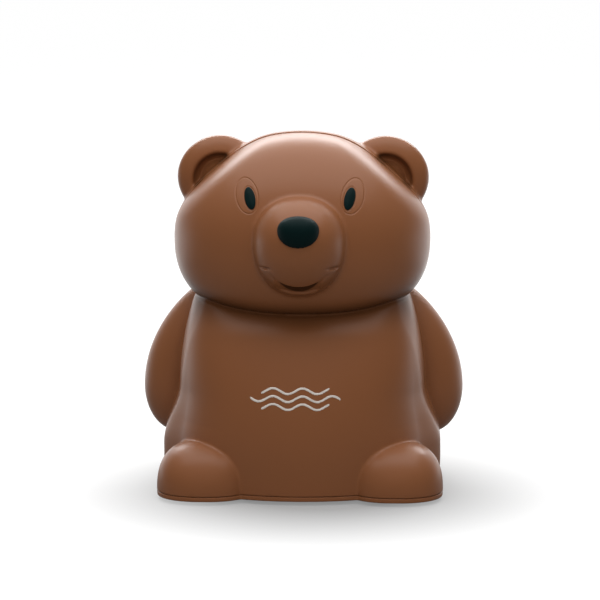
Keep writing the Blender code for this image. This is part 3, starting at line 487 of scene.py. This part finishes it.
def rear_field(p):
    # At the crown the rear half stands a little proud of the front one.
    shell = smooth_max(walls(p) - 0.6 * smooth_step(150, 175, p[:, 2]), SEAM - p[:, 1], 0.9)
    cuts = [
        hole(p, OUTLET.x, OUTLET.z, OUTLET_HOLE),
        hole(p, FILTER.x, FILTER.z, FILTER_HOLE),
        window(p, SWITCH.x, SWITCH.z, *SWITCH_WINDOW),
        window(p, INLET.x, INLET.z, *INLET_WINDOW),
    ]
    for i in range(VENTS):
        across = np.maximum(np.abs(p[:, 0] - VENT_AT[0]) - VENT_HALF, 0)
        cuts.append(np.hypot(across, p[:, 2] - VENT_AT[1] - VENT_PITCH * i) - VENT_R)
    opening = np.maximum(np.minimum.reduce(cuts), SERVICE_DEPTH_Y - p[:, 1])
    recess = np.minimum.reduce([hole(p, screw.x, screw.z, RECESS_R) for screw in SCREWS])
    opening = np.minimum(opening, np.maximum(recess, SCREW_SEAT_Y - p[:, 1]))
    return smooth_max(shell, -opening, 0.7)


def detail(p):
    """The greatest edge length wanted near each point, for the neck groove and the fine lines of the face."""
    head, body = head_and_ears(p), trunk_and_limbs(p)
    crease = np.hypot(head, body)
    size = np.where(np.minimum(head, body) > -1, 0.7 + 0.5 * crease, 99.0)
    front = p[:, 1] < -30
    for side in (-1, 1):
        across, along = eye_frame(p, side)
        line = ring(across - EYE_RING_SHIFT, along - EYE_RING_SHIFT, EYE_RING)
        pupil = ring(across, along, EYE_RADII)
        near = front & (np.abs(across) < 12) & (np.abs(along) < 15)
        size = np.where(near, np.minimum(size, 0.35 + 0.45 * np.minimum(line, pupil)), size)
    lowered = MOUTH_Z + MOUTH_RISE * (p[:, 0] / MOUTH_HALF) ** 2 - 1.5  # midway down the open mouth
    above = np.abs(p[:, 2] - lowered)
    near = (p[:, 1] < -50) & (above < 8) & (np.abs(p[:, 0]) < DIMPLE[0] + 4)
    return np.where(near, np.minimum(size, 0.45 + 0.3 * np.maximum(above - 3, 0)), size)


# ---------------------------------------------------------------- materials


def node_material(name, colour, roughness, metallic=0.0):
    made = bpy.data.materials.new(name)
    made.use_nodes = True
    shader = made.node_tree.nodes["Principled BSDF"]
    shader.inputs["Base Color"].default_value = (*colour, 1)
    shader.inputs["Roughness"].default_value = roughness
    shader.inputs["Metallic"].default_value = metallic
    return made


def add(tree, kind, **inputs):
    """Adds a node. Names with a capital set or link its inputs; the others set its properties."""
    node = tree.nodes.new("ShaderNode" + kind)
    for key, value in inputs.items():
        if key[0].isupper():
            socket = node.inputs[key.replace("_", " ")]
            if isinstance(value, bpy.types.NodeSocket):
                tree.links.new(value, socket)
            else:
                socket.default_value = value
        else:
            setattr(node, key, value)
    return node


def surface(
    name, colour, roughness, metallic=0.0, tint=0.06, patch=18.0, gloss=0.05, grain=0.03, fine=2600.0,
    stretch=(1, 1, 1), bands=None, specular=0.5,
):
    """A finish with slow changes of shade, patchy gloss and a fine grain.

    grain is the grain's height in millimetres and fine its scale; stretch draws it out along an axis.
    bands, if given, is an axis and a pitch in millimetres, for stacked sheets or wound wire.
    """
    made = node_material(name, colour, roughness, metallic)
    tree = made.node_tree
    shader = tree.nodes["Principled BSDF"]
    place = add(tree, "TexCoord").outputs["Object"]
    slow = add(tree, "TexNoise", Vector=place, Scale=patch, Detail=3.0)
    shade = add(tree, "MapRange", Value=slow.outputs[0], To_Min=1 - tint, To_Max=1 + tint).outputs[0]
    patchy = add(tree, "TexNoise", Vector=place, Scale=3 * patch, Detail=4.0)
    rough = add(tree, "MapRange", Value=patchy.outputs[0], To_Min=roughness - gloss, To_Max=roughness + gloss)
    tree.links.new(rough.outputs[0], shader.inputs["Roughness"])
    drawn = add(tree, "VectorMath", operation="MULTIPLY")
    tree.links.new(place, drawn.inputs[0])
    drawn.inputs[1].default_value = stretch
    height = add(tree, "TexNoise", Vector=drawn.outputs[0], Scale=fine, Detail=2.0).outputs[0]
    if bands:
        axis, pitch = bands
        # A wave texture of scale 1 repeats every pi / 10 units.
        wave = add(
            tree, "TexWave", bands_direction=axis, Vector=place, Scale=math.pi / 10 / (pitch * MM)
        ).outputs["Fac"]
        dark = add(tree, "MapRange", Value=wave, To_Min=0.45, To_Max=1.0).outputs[0]
        shade = add(tree, "Math", operation="MULTIPLY", Value=shade)
        tree.links.new(dark, shade.inputs[1])
        shade = shade.outputs[0]
        height = wave
    # Painted shade: where the painted_shade attribute is high the base colour is darker and the specular
    # lower, standing in for the shade in deep places.
    painted_shade_amount = add(tree, "Attribute", attribute_name="painted_shade").outputs["Fac"]
    painted_shade_factor = add(tree, "MapRange", Value=painted_shade_amount, To_Min=1.0, To_Max=0.0).outputs[0]
    shade = add(tree, "Math", operation="MULTIPLY", Value=shade)
    tree.links.new(painted_shade_factor, shade.inputs[1])
    shade = shade.outputs[0]
    shine_under_painted_shade = add(tree, "MapRange", Value=painted_shade_amount, To_Min=specular, To_Max=0.0).outputs[0]
    tree.links.new(shine_under_painted_shade, shader.inputs["Specular IOR Level"])
    base = add(tree, "VectorMath", operation="SCALE", Scale=shade)
    base.inputs[0].default_value = colour
    tree.links.new(base.outputs[0], shader.inputs["Base Color"])
    bump = add(tree, "Bump", Strength=0.25, Distance=grain * MM, Height=height)
    tree.links.new(bump.outputs[0], shader.inputs["Normal"])
    return made


FINISHES = {
    "brown_plastic": surface(
        "satin_brown_plastic", (0.245, 0.088, 0.032), 0.38, tint=0.03, grain=0.02, specular=0.34
    ),
    "dark_gloss_plastic": surface(
        "satin_dark_plastic", (0.003, 0.012, 0.012), 0.5, tint=0.1, grain=0.01, specular=0.06
    ),
    "black_plastic": surface("matt_black_plastic", (0.018, 0.018, 0.02), 0.5, grain=0.06, fine=1800.0),
    "rubber": surface("soft_black_rubber", (0.022, 0.022, 0.022), 0.8, tint=0.15, grain=0.08, fine=1200.0),
    "steel": surface("plated_steel", (0.56, 0.56, 0.57), 0.3, 1.0, 0.05, 60.0, 0.08, stretch=(1, 1, 0.06)),
    "lamination_steel": surface("stacked_sheets", (0.33, 0.34, 0.36), 0.5, 1.0, 0.1, 80.0, bands=("X", 0.5)),
    "cast_aluminium": surface("cast_aluminium", (0.6, 0.61, 0.62), 0.5, 1.0, 0.08, 50.0, 0.1, 0.15, 1400.0),
    "copper_winding": surface(
        "wound_copper", (0.56, 0.2, 0.07), 0.3, 1.0, 0.1, 70.0, grain=0.2, bands=("Y", 0.6)
    ),
    "bronze": surface("porous_bronze", (0.5, 0.32, 0.12), 0.45, 1.0, 0.15, 150.0, 0.1, 0.08, 3000.0),
    "white_nylon": surface("milky_nylon", (0.74, 0.73, 0.68), 0.5, tint=0.04),
    "cup_seal": surface("filled_polymer", (0.15, 0.12, 0.09), 0.55, tint=0.2, patch=200.0),
    "silicone_hose": surface("milky_silicone", (0.72, 0.74, 0.73), 0.32, tint=0.04, patch=40.0),
    "filter_felt": surface(
        "fibrous_felt", (0.8, 0.8, 0.77), 0.95, tint=0.12, patch=500.0, grain=0.5, fine=1500.0
    ),
    "blue_wire": surface("blue_insulation", (0.02, 0.1, 0.42), 0.4),
    "brown_wire": surface("brown_insulation", (0.14, 0.05, 0.02), 0.4),
}
CREAM_INK = surface("cream_ink", (0.72, 0.66, 0.6), 0.45, tint=0.03, patch=120.0, grain=0.01)


def dress(obj, finish, stands_for=(), body="casing"):
    """Gives a piece its finish and the body it moves with. It may stand for CAD nodes."""
    obj.data.materials.clear()
    obj.data.materials.append(FINISHES[finish])
    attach(obj, body)
    if stands_for:
        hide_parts(*stands_for)
    return obj


front = field_mesh("front_shell", front_field, (-92, -86, 2), (92, 4, 200), 2.1, detail, relief, painted_shade)
dress(front, "brown_plastic", ["front_casing"])
rear = field_mesh("rear_shell", rear_field, (-92, -4, 2), (92, 60, 200), 2.1, detail, relief, painted_shade)
dress(rear, "brown_plastic", ["rear_casing"])


# ---------------------------------------------------------------- face pieces and belly print


def nose_field(p):
    x, y, z = p[:, 0], p[:, 1] - NOSE[1], p[:, 2] - NOSE[2]
    upper = oval(x, z, y, 11.3, 7.7, 8.2, 2.15)
    lower = oval(x, z, y, 11.3, 10.6, 8.2, 2.0)
    return smooth_max(np.where(z > 0, upper, lower), 0.2 - muzzle_field(p), 0.4)


def pupil_field(p, side):
    across, along = eye_frame(p, side)
    outline = oval(across, along, 0 * across, *EYE_RADII, 1)
    skin = skull_field(p)
    crown = skin - 0.9 * np.sqrt(np.clip(-outline / EYE_RADII[0], 0, 1)) - 0.1
    return smooth_max(smooth_max(outline, crown, 0.5), -1.5 - skin, 0.2)


nose = field_mesh("nose_button", nose_field, (-14, -84, 140), (14, -56, 166), 0.9)
dress(nose, "dark_gloss_plastic", ["nose"])
for side, node in ((-1, "eye_right"), (1, "eye_left")):
    low = (side * EYE_X - 6, -52, EYE_Z - 9)
    high = (side * EYE_X + 6, -34, EYE_Z + 9)
    pupil = field_mesh(
        f"pupil_{node[4:]}", lambda p, side=side: pupil_field(p, side), low, high, 0.5, rounds=2
    )
    dress(pupil, "dark_gloss_plastic", [node])


PRINT_Z, PRINT_HALF, WAVE_LENGTH, WAVE_HEIGHT, INK = 58.0, 24.0, 16.0, 1.5, 0.12


def print_field(p):
    """Three wavy lines of mist, printed on the belly."""
    x, z = p[:, 0] + 2, p[:, 2] - PRINT_Z
    pitch = 2 * math.pi / WAVE_LENGTH
    crest = WAVE_HEIGHT * np.sin(pitch * x)
    slant = np.sqrt(1 + (WAVE_HEIGHT * pitch * np.cos(pitch * x)) ** 2)
    rows = ((4.2, PRINT_HALF - 6), (0, PRINT_HALF), (-4.2, PRINT_HALF - 6))
    strokes = [
        np.hypot((z - row - crest) / slant, np.maximum(np.abs(x) - half, 0)) - 0.65 for row, half in rows
    ]
    skin = trunk_field(p)
    return np.maximum(np.minimum.reduce(strokes), np.maximum(skin - INK, -1 - skin))


# ---------------------------------------------------------------- service face, base and screws


def slab_y(outline, p, low, high, round_edge=0.8):
    """An outline across x and z, between two heights in y, with rounded edges."""
    return smooth_max(outline, np.maximum(low - p[:, 1], p[:, 1] - high), round_edge)


def slab_z(outline, p, low, high, round_edge=0.8):
    return smooth_max(outline, np.maximum(low - p[:, 2], p[:, 2] - high), round_edge)


def fillet(profile, radius, steps=4):
    """Rounds the corners of a closed or open profile."""
    made = []
    count = len(profile)
    for i in range(count):
        before, corner, after = (np.array(profile[k % count], float) for k in (i - 1, i, i + 1))
        into, out = before - corner, after - corner
        reach = min(radius, 0.4 * np.linalg.norm(into), 0.4 * np.linalg.norm(out))
        start = corner + into / np.linalg.norm(into) * reach
        end = corner + out / np.linalg.norm(out) * reach
        for t in np.linspace(0, 1, steps):
            made.append((1 - t) ** 2 * start + 2 * t * (1 - t) * corner + t**2 * end)
    return made


def lathe(name, profile, centre, radius=0.3, upright=False, segments=96):
    """Revolves a closed loop of (radius, height) corners about a line along y, or along z if upright."""
    loop = fillet(profile, radius)
    angles = 2 * math.pi * np.arange(segments) / segments
    rings = [[(r * math.cos(a), r * math.sin(a), h) for a in angles] for r, h in loop]
    points = np.array(rings).reshape(-1, 3)
    if not upright:
        points = points[:, [0, 2, 1]]
    count = len(loop)
    faces = []
    for i in range(count):
        for k in range(segments):
            a, b = i * segments, (i + 1) % count * segments
            n = (k + 1) % segments
            faces.append((a + k, a + n, b + n, b + k))
    mesh = bpy.data.meshes.new(name)
    mesh.from_pydata(in_row(points + np.array(centre)), [], faces)
    bm = bmesh.new()
    bm.from_mesh(mesh)
    bmesh.ops.recalc_face_normals(bm, faces=bm.faces)
    bm.to_mesh(mesh)
    bm.free()
    mesh.shade_smooth()
    return linked(name, mesh)


AXLE = 0.02  # the smallest radius of a lathed loop
PLATE_SLOTS = 6
BOX_MARGIN = Vector((1.2, 1.2, 1.2))


def around(node):
    """The corners of a box that holds a CAD node with room to spare."""
    low, high = span(node)
    return tuple(low - BOX_MARGIN), tuple(high + BOX_MARGIN)


def plate_field(p):
    """The base plate: the bear's own outline, with countersunk screw holes and air slots."""
    edge = trunk_and_limbs(p) + 0.1
    plate = slab_z(edge, p, PLATE_LOW, PLATE_HIGH, 0.6)
    for screw in BASE_SCREWS:
        bore = np.hypot(p[:, 0] - screw.x, p[:, 1] - screw.y)
        plate = smooth_max(plate, 1.8 - bore, 0.3)
        plate = smooth_max(plate, np.minimum(3.5 - bore, 3.4 - p[:, 2]), 0.3)
    along = np.maximum(np.abs(p[:, 1] - 4) - 20.5, 0)
    for i in range(PLATE_SLOTS):
        slot = np.hypot(p[:, 0] + 50.5 - 6 * i, along) - 1.5
        plate = smooth_max(plate, -slot, 0.6)
    return plate


plate = field_mesh("base_plate_shell", plate_field, (-92, -80, 0), (92, 60, 7), 1.3, rounds=2, turn=20)
dress(plate, "brown_plastic", ["base_plate"])

ink = field_mesh("mist_waves_print", print_field, (-30, -68, 48), (28, -50, 68), 0.4, rounds=0)
ink.data.materials.append(CREAM_INK)
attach(ink, "casing")

tip = span("air_outlet")[1].y
profile = [
    (1.0, 42.5), (1.8, 42.5), (1.8, 51.5), (5.0, 51.5), (5.0, BACK_Y + GAP), (7.2, BACK_Y + GAP),
    (7.2, BACK_Y + 2), (3.6, BACK_Y + 2.2), (3.3, BACK_Y + 7.3), (4.2, BACK_Y + 8.2), (3.4, BACK_Y + 12.5),
    (3.0, tip), (1.2, tip),
]
dress(lathe("hose_nozzle", profile, (OUTLET.x, 0, OUTLET.z)), "black_plastic", ["air_outlet"])

profile = [
    (1.0, 39.5), (1.8, 39.5), (1.8, 46.5), (10.5, 46.5), (10.5, 50.4), (12.0, 50.4), (12.0, 52.2),
    (10.5, 52.2), (10.5, BACK_Y + 0.4), (9.4, BACK_Y + 0.4), (9.4, 48.5), (1.0, 48.5),
]
dress(lathe("filter_cup", profile, (FILTER.x, 0, FILTER.z)), "black_plastic", ["filter_housing"])


def cap_field(p):
    """The filter's cap: a knurled, dished disc with a grip bar, vents and a skirt."""
    x, z = p[:, 0] - FILTER.x, p[:, 2] - FILTER.z
    radius, face = np.hypot(x, z), BACK_Y + 0.8
    knurl = 0.18 * np.cos(48 * np.arctan2(z, x)) * smooth_step(face, face + 1, p[:, 1])
    cap = slab_y(radius - 12.3 - knurl, p, face, face + 3.4, 1.6)
    dished = np.hypot(np.maximum(radius - 8.6, 0), p[:, 1] - face - 3.9) - 1.0
    cap = smooth_max(cap, -dished, 0.5)
    grip = slab_y(window(p, FILTER.x, FILTER.z, 1.6, 8.5, 1.5), p, face + 1, face + 6.1, 1.2)
    cap = smooth_min(cap, grip, 0.9)
    skirt = slab_y(np.abs(radius - 8.35) - 0.65, p, 50.5, face + 1, 0.3)
    cap = np.minimum(cap, skirt)
    for i in range(6):
        angle = math.pi / 6 + math.pi / 3 * i
        vent = np.hypot(x - 5 * math.cos(angle), z - 5 * math.sin(angle)) - 1.0
        cap = smooth_max(cap, -vent, 0.4)
    return cap


cap = field_mesh("filter_knob", cap_field, *around("filter_cap"), 0.7, rounds=2, turn=16)
dress(cap, "brown_plastic", ["filter_cap"], "filter")

bezel_top = span("switch_housing")[1].y


def tag(p, x, z):
    """A solder tag behind the service face."""
    return slab_y(window(p, x, z, 2.2, 0.4, 0.3), p, 37.5, 42.5, 0.2)


def switch_field(p):
    case = slab_y(window(p, SWITCH.x, SWITCH.z, 6.2, 9.2), p, 41, BACK_Y + 1)
    bezel = slab_y(window(p, SWITCH.x, SWITCH.z, 7.6, 10.6, 2.0), p, BACK_Y + GAP, bezel_top, 0.9)
    well = slab_y(window(p, SWITCH.x, SWITCH.z, 5.3, 8.2), p, 51.8, 90, 0.3)
    case = smooth_max(np.minimum(case, bezel), -well, 0.5)
    for side in (-1, 1):
        case = np.minimum(case, tag(p, SWITCH.x, SWITCH.z + 5 * side))
    return case


dress(field_mesh("switch_bezel", switch_field, *around("switch_housing"), 0.8, rounds=2, turn=16),
      "black_plastic", ["switch_housing"])
ROCKER_Y, ROCKER_REST = 54.5, math.radians(8)


def rocker_field(p):
    x, y, z = p[:, 0] - SWITCH.x, p[:, 1] - ROCKER_Y, p[:, 2] - SWITCH.z
    sin, cos = math.sin(ROCKER_REST), math.cos(ROCKER_REST)
    y, z = y * cos + z * sin, z * cos - y * sin
    dish = y - 2.0 - 1.6 * (np.abs(z) / 7.5) ** 1.6
    under = np.interp(np.abs(z), (0, 2, 7.5), (-1.6, -1.6, 0.8)) - y
    paddle = smooth_max(np.maximum(dish * 0.9, under), np.maximum(np.abs(x) - 4.9, np.abs(z) - 7.5), 0.8)
    bar = np.maximum(np.abs(x) - 0.3, np.abs(z - 4.6) - 1.5)
    circle = np.abs(np.hypot(x, z + 4.6) - 1.4) - 0.3
    mark = np.maximum(np.minimum(bar, circle), -0.35 - dish)
    return smooth_max(paddle, -mark, 0.15)


dress(field_mesh("rocker_paddle", rocker_field, *around("switch_rocker"), 0.5, rounds=2, turn=16),
      "black_plastic", ["switch_rocker"], "rocker")


def inlet_field(p):
    case = slab_y(window(p, INLET.x, INLET.z, 12, 6), p, 41, BACK_Y + 1)
    flange = slab_y(window(p, INLET.x, INLET.z, 15, 8, 2.5), p, BACK_Y + GAP, BACK_Y + 2.1, 0.9)
    socket = np.hypot(np.maximum(np.abs(p[:, 0] - INLET.x) - 4.6, 0), p[:, 2] - INLET.z) - 4.4
    case = smooth_max(np.minimum(case, flange), -slab_y(socket, p, 45, 90, 0.3), 0.6)
    for side in (-1, 1):
        case = np.minimum(case, tag(p, INLET.x + 6 * side, INLET.z))
    return case


dress(field_mesh("inlet_socket", inlet_field, *around("mains_inlet"), 0.9, rounds=2, turn=16),
      "black_plastic", ["mains_inlet"])
for side, name in ((-1, "inlet_pin_live"), (1, "inlet_pin_neutral")):
    profile = [(AXLE, 43), (1.2, 43), (1.2, BACK_Y - 1), (AXLE, BACK_Y - 1)]
    dress(lathe(name, profile, (INLET.x + 4.3 * side, 0, INLET.z), 0.7, segments=32), "steel")

for i in (1, 2, 3, 4):
    foot = middle(f"rubber_foot_{i}")
    profile = [
        (AXLE, 0.5), (1.6, 0.5), (2.2, 0), (3.0, 0), (3.6, 0.5), (4.2, 0.5), (4.8, 0), (6.0, 0), (6.5, 0.7),
        (6.5, 1.7), (AXLE, 1.7),
    ]
    made = lathe(f"ribbed_foot_{i}", profile, (foot.x, foot.y, 0), upright=True, segments=64)
    dress(made, "rubber", [f"rubber_foot_{i}"])


def cross(u, v, reach, half):
    """A plus sign, from the reach and half-width of its arms."""
    u, v = np.abs(u), np.abs(v)
    return np.minimum(np.maximum(u - half, v - reach), np.maximum(v - half, u - reach))


def screw_field(p):
    """A pan-head screw with a cross recess. The head's seat is at y 0 and its top faces +Y."""
    radius = np.hypot(p[:, 0], p[:, 2])
    head = slab_y(radius - 3.1, p, 0, 2.3 - 0.05 * radius**2, 1.2)
    shank = slab_y(radius - 1.0, p, -39, 0.5, 0.3)
    recess = np.maximum(cross(p[:, 0], p[:, 2], 2.0, 0.45), 0.9 - p[:, 1])
    return smooth_max(np.minimum(head, shank), -recess, 0.3)


def base_screw_field(p):
    """The same screw, short and flat-headed, facing down."""
    across = np.hypot(p[:, 0], p[:, 1])
    head = slab_z(across - 2.9, p, 2.2, 3.1, 0.4)
    shank = slab_z(across - 1.0, p, 2.8, 13.5, 0.3)
    recess = np.maximum(cross(p[:, 0], p[:, 1], 1.8, 0.4), p[:, 2] - 2.8)
    return smooth_max(np.minimum(head, shank), -recess, 0.2)


def repeat(first, names, steps):
    """Copies of a piece, each moved by a step in millimetres."""
    for name, step in zip(names, steps):
        mesh = first.data.copy()
        mesh.transform(Matrix.Translation(Vector(step) * MM))
        yield linked(name, mesh)
    bpy.data.objects.remove(first)


pattern = field_mesh("screw_pattern", screw_field, (-4.5, -41, -4.5), (4.5, 4, 4.5), 0.5, rounds=1, turn=18)
steps = [(screw.x, SCREW_SEAT_Y, screw.z) for screw in SCREWS]
for i, made in enumerate(repeat(pattern, [f"shell_screw_{n}" for n in (1, 2, 3, 4)], steps)):
    dress(made, "steel", [f"casing_screw_{i + 1}"])
low, high = (-4.5, -4.5, 1), (4.5, 4.5, 15)
pattern = field_mesh("screw_pattern", base_screw_field, low, high, 0.5, rounds=1, turn=18)
steps = [(screw.x, screw.y, 0) for screw in BASE_SCREWS]
for i, made in enumerate(repeat(pattern, [f"plate_screw_{n}" for n in (1, 2, 3, 4)], steps)):
    dress(made, "steel", [f"base_screw_{i + 1}"])

# The pump, the motor and the wiring keep their CAD shapes and get their own finishes.
for part in frame["record"]["subparts"]:
    node = frame["nodes"][part["node"]]
    for material_slot in node.material_slots:
        material_slot.material = FINISHES[part["material_slot"]]


# ---------------------------------------------------------------- floor, light and camera


def soft_box(name, place, aim, width, height, power, glossy=True):
    data = bpy.data.lights.new(name, "AREA")
    data.shape = "RECTANGLE"
    data.size, data.size_y, data.energy = width, height, power
    lamp = bpy.data.objects.new(name, data)
    bpy.context.scene.collection.objects.link(lamp)
    lamp.location = place
    lamp.visible_glossy = glossy
    lamp.rotation_euler = (Vector(aim) - Vector(place)).to_track_quat("-Z", "Y").to_euler()


PAPER_BOUNCE, PAPER_SHADE = (0.2, 0.2, 0.2), 0.2
REAR_SHEEN, REAR_SOFT = 1.6, 0.6  # how bright the rear looks in a reflection, and how much it lights
PAPER_SHEEN, PAPER_SOFT = 1.6, 0.3  # the same for the floor behind the bear
# Where the painted shadow on the paper is centred.
PAINTED_SHADOW_OFFSET = (-0.01, 0.025, 0)  # the soft shadow lies a little ahead of the origin, and to the bear's left
FLOOR_HALF = 6.0


def rear_light(tree, ray, sheen, soft):
    """Strength of a bright rear that gives the bear's edges their sheen and lights its back only softly."""
    return add(tree, "MapRange", Value=ray.outputs["Is Diffuse Ray"], To_Min=sheen, To_Max=soft).outputs[0]


def surround():
    """White to the camera. For light it is bright overhead and behind the bear, and dimmer in front of it."""
    world = bpy.data.worlds.new("pale_surround")
    bpy.context.scene.world = world
    world.use_nodes = True
    tree = world.node_tree
    way = add(tree, "SeparateXYZ", Vector=add(tree, "TexCoord").outputs["Generated"])
    ray = add(tree, "LightPath")
    rear = rear_light(tree, ray, REAR_SHEEN, REAR_SOFT)
    behind = add(tree, "MapRange", Value=way.outputs["Y"], From_Min=0.3, From_Max=0.9, To_Min=0.14,
                 To_Max=rear)
    above = add(tree, "MapRange", Value=way.outputs["Z"], From_Min=0.1, From_Max=1.0, To_Min=0.0, To_Max=0.35)
    both = add(tree, "Math", operation="ADD", Value=behind.outputs[0])
    tree.links.new(above.outputs[0], both.inputs[1])
    level = add(tree, "Mix", Factor=ray.outputs["Is Camera Ray"], B=1.0)
    tree.links.new(both.outputs[0], level.inputs["A"])
    background = tree.nodes["Background"]
    background.inputs["Color"].default_value = (1, 1, 1, 1)
    tree.links.new(level.outputs[0], background.inputs["Strength"])


def paper():
    """Pale paper with a painted shadow: to the camera it glows less close to the bear, so it looks greyer
    there. Little of its light reaches the bear.
    """
    made = node_material("pale_paper", PAPER_BOUNCE, 0.9)
    tree = made.node_tree
    place = add(tree, "TexCoord").outputs["Object"]
    grain = add(tree, "TexNoise", Vector=place, Scale=900.0)
    shade = add(
        tree, "MapRange", Value=grain.outputs[0], To_Min=PAPER_SHADE - 0.01, To_Max=PAPER_SHADE + 0.01
    )
    lit = add(tree, "BsdfDiffuse", Color=shade.outputs[0])
    offset = add(tree, "VectorMath", operation="ADD")
    tree.links.new(place, offset.inputs[0])
    offset.inputs[1].default_value = PAINTED_SHADOW_OFFSET
    away = add(tree, "VectorMath", operation="LENGTH")
    tree.links.new(offset.outputs[0], away.inputs[0])
    # Painted shadow: the paper's glow to the camera is weaker close to the bear.
    painted_shadow_glow = add(tree, "MapRange", Value=away.outputs["Value"], From_Min=0.045, From_Max=0.155, To_Min=0.25,
               To_Max=0.9)
    painted_shadow_glow = add(tree, "Emission", Color=(1, 1, 1, 1), Strength=painted_shadow_glow.outputs[0])
    seen = add(tree, "AddShader")
    tree.links.new(lit.outputs[0], seen.inputs[0])
    tree.links.new(painted_shadow_glow.outputs[0], seen.inputs[1])
    ray = add(tree, "LightPath")
    both = add(tree, "MixShader", Fac=ray.outputs["Is Camera Ray"])
    bounce = tree.nodes["Principled BSDF"]
    rear = rear_light(tree, ray, PAPER_SHEEN, PAPER_SOFT)
    depth = add(tree, "SeparateXYZ", Vector=place).outputs["Y"]
    behind = add(tree, "MapRange", Value=depth, From_Min=0.05, From_Max=0.4, To_Max=rear)
    bounce.inputs["Emission Color"].default_value = (1, 1, 1, 1)
    tree.links.new(behind.outputs[0], bounce.inputs["Emission Strength"])
    tree.links.new(bounce.outputs[0], both.inputs[1])
    tree.links.new(seen.outputs[0], both.inputs[2])
    tree.links.new(both.outputs[0], tree.nodes["Material Output"].inputs["Surface"])
    return made


def studio():
    """A wide sheet of pale paper under three soft boxes."""
    lines = 5
    steps = np.linspace(-FLOOR_HALF, FLOOR_HALF, lines)
    points = [(x, y, 0) for y in steps for x in steps]
    corners = [i + lines * j for j in range(lines - 1) for i in range(lines - 1)]
    faces = [(a, a + 1, a + lines + 1, a + lines) for a in corners]
    mesh = bpy.data.meshes.new("floor_paper")
    mesh.from_pydata(points, [], faces)
    floor = linked("floor_paper", mesh)
    floor.data.materials.append(paper())
    floor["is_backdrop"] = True
    surround()
    soft_box("top_box", (0, -0.05, 0.9), (0, 0, 0.1), 1.3, 0.9, 7)
    soft_box("rim_box", (0, 0.9, 0.75), (0, 0, 0.15), 1.4, 0.3, 11)
    soft_box("front_box", (0, -1.4, 0.7), (0, 0, 0.08), 1.0, 0.5, 6.3, glossy=False)


# The camera stands in front, a little above, with a long lens.
VIEW_AZIMUTH, VIEW_ELEVATION = math.radians(1.9), math.radians(10)
VIEW_DISTANCE, VIEW_WIDTH = 3.0, 0.3327  # metres
AIM_RIGHT, AIM_UP = -0.00133, 0.10064  # from where the casing's axis meets the table, in metres


def camera():
    data = bpy.data.cameras.new("front_camera")
    cam = bpy.data.objects.new("front_camera", data)
    bpy.context.scene.collection.objects.link(cam)
    bpy.context.scene.camera = cam
    level = math.cos(VIEW_ELEVATION)
    back = Vector(
        (math.sin(VIEW_AZIMUTH) * level, -math.cos(VIEW_AZIMUTH) * level, math.sin(VIEW_ELEVATION))
    )
    turn = (-back).to_track_quat("-Z", "Y")
    right, up = turn @ Vector((1, 0, 0)), turn @ Vector((0, 1, 0))
    base = Vector((0, AXIS_Y * MM, 0))
    target = base + right * AIM_RIGHT + up * AIM_UP
    cam.location = target + back * VIEW_DISTANCE
    cam.rotation_euler = turn.to_euler()
    data.sensor_width = 36
    data.lens = data.sensor_width * VIEW_DISTANCE / VIEW_WIDTH


studio()
camera()
bpy.context.scene.view_settings.view_transform = "Standard"

low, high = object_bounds()
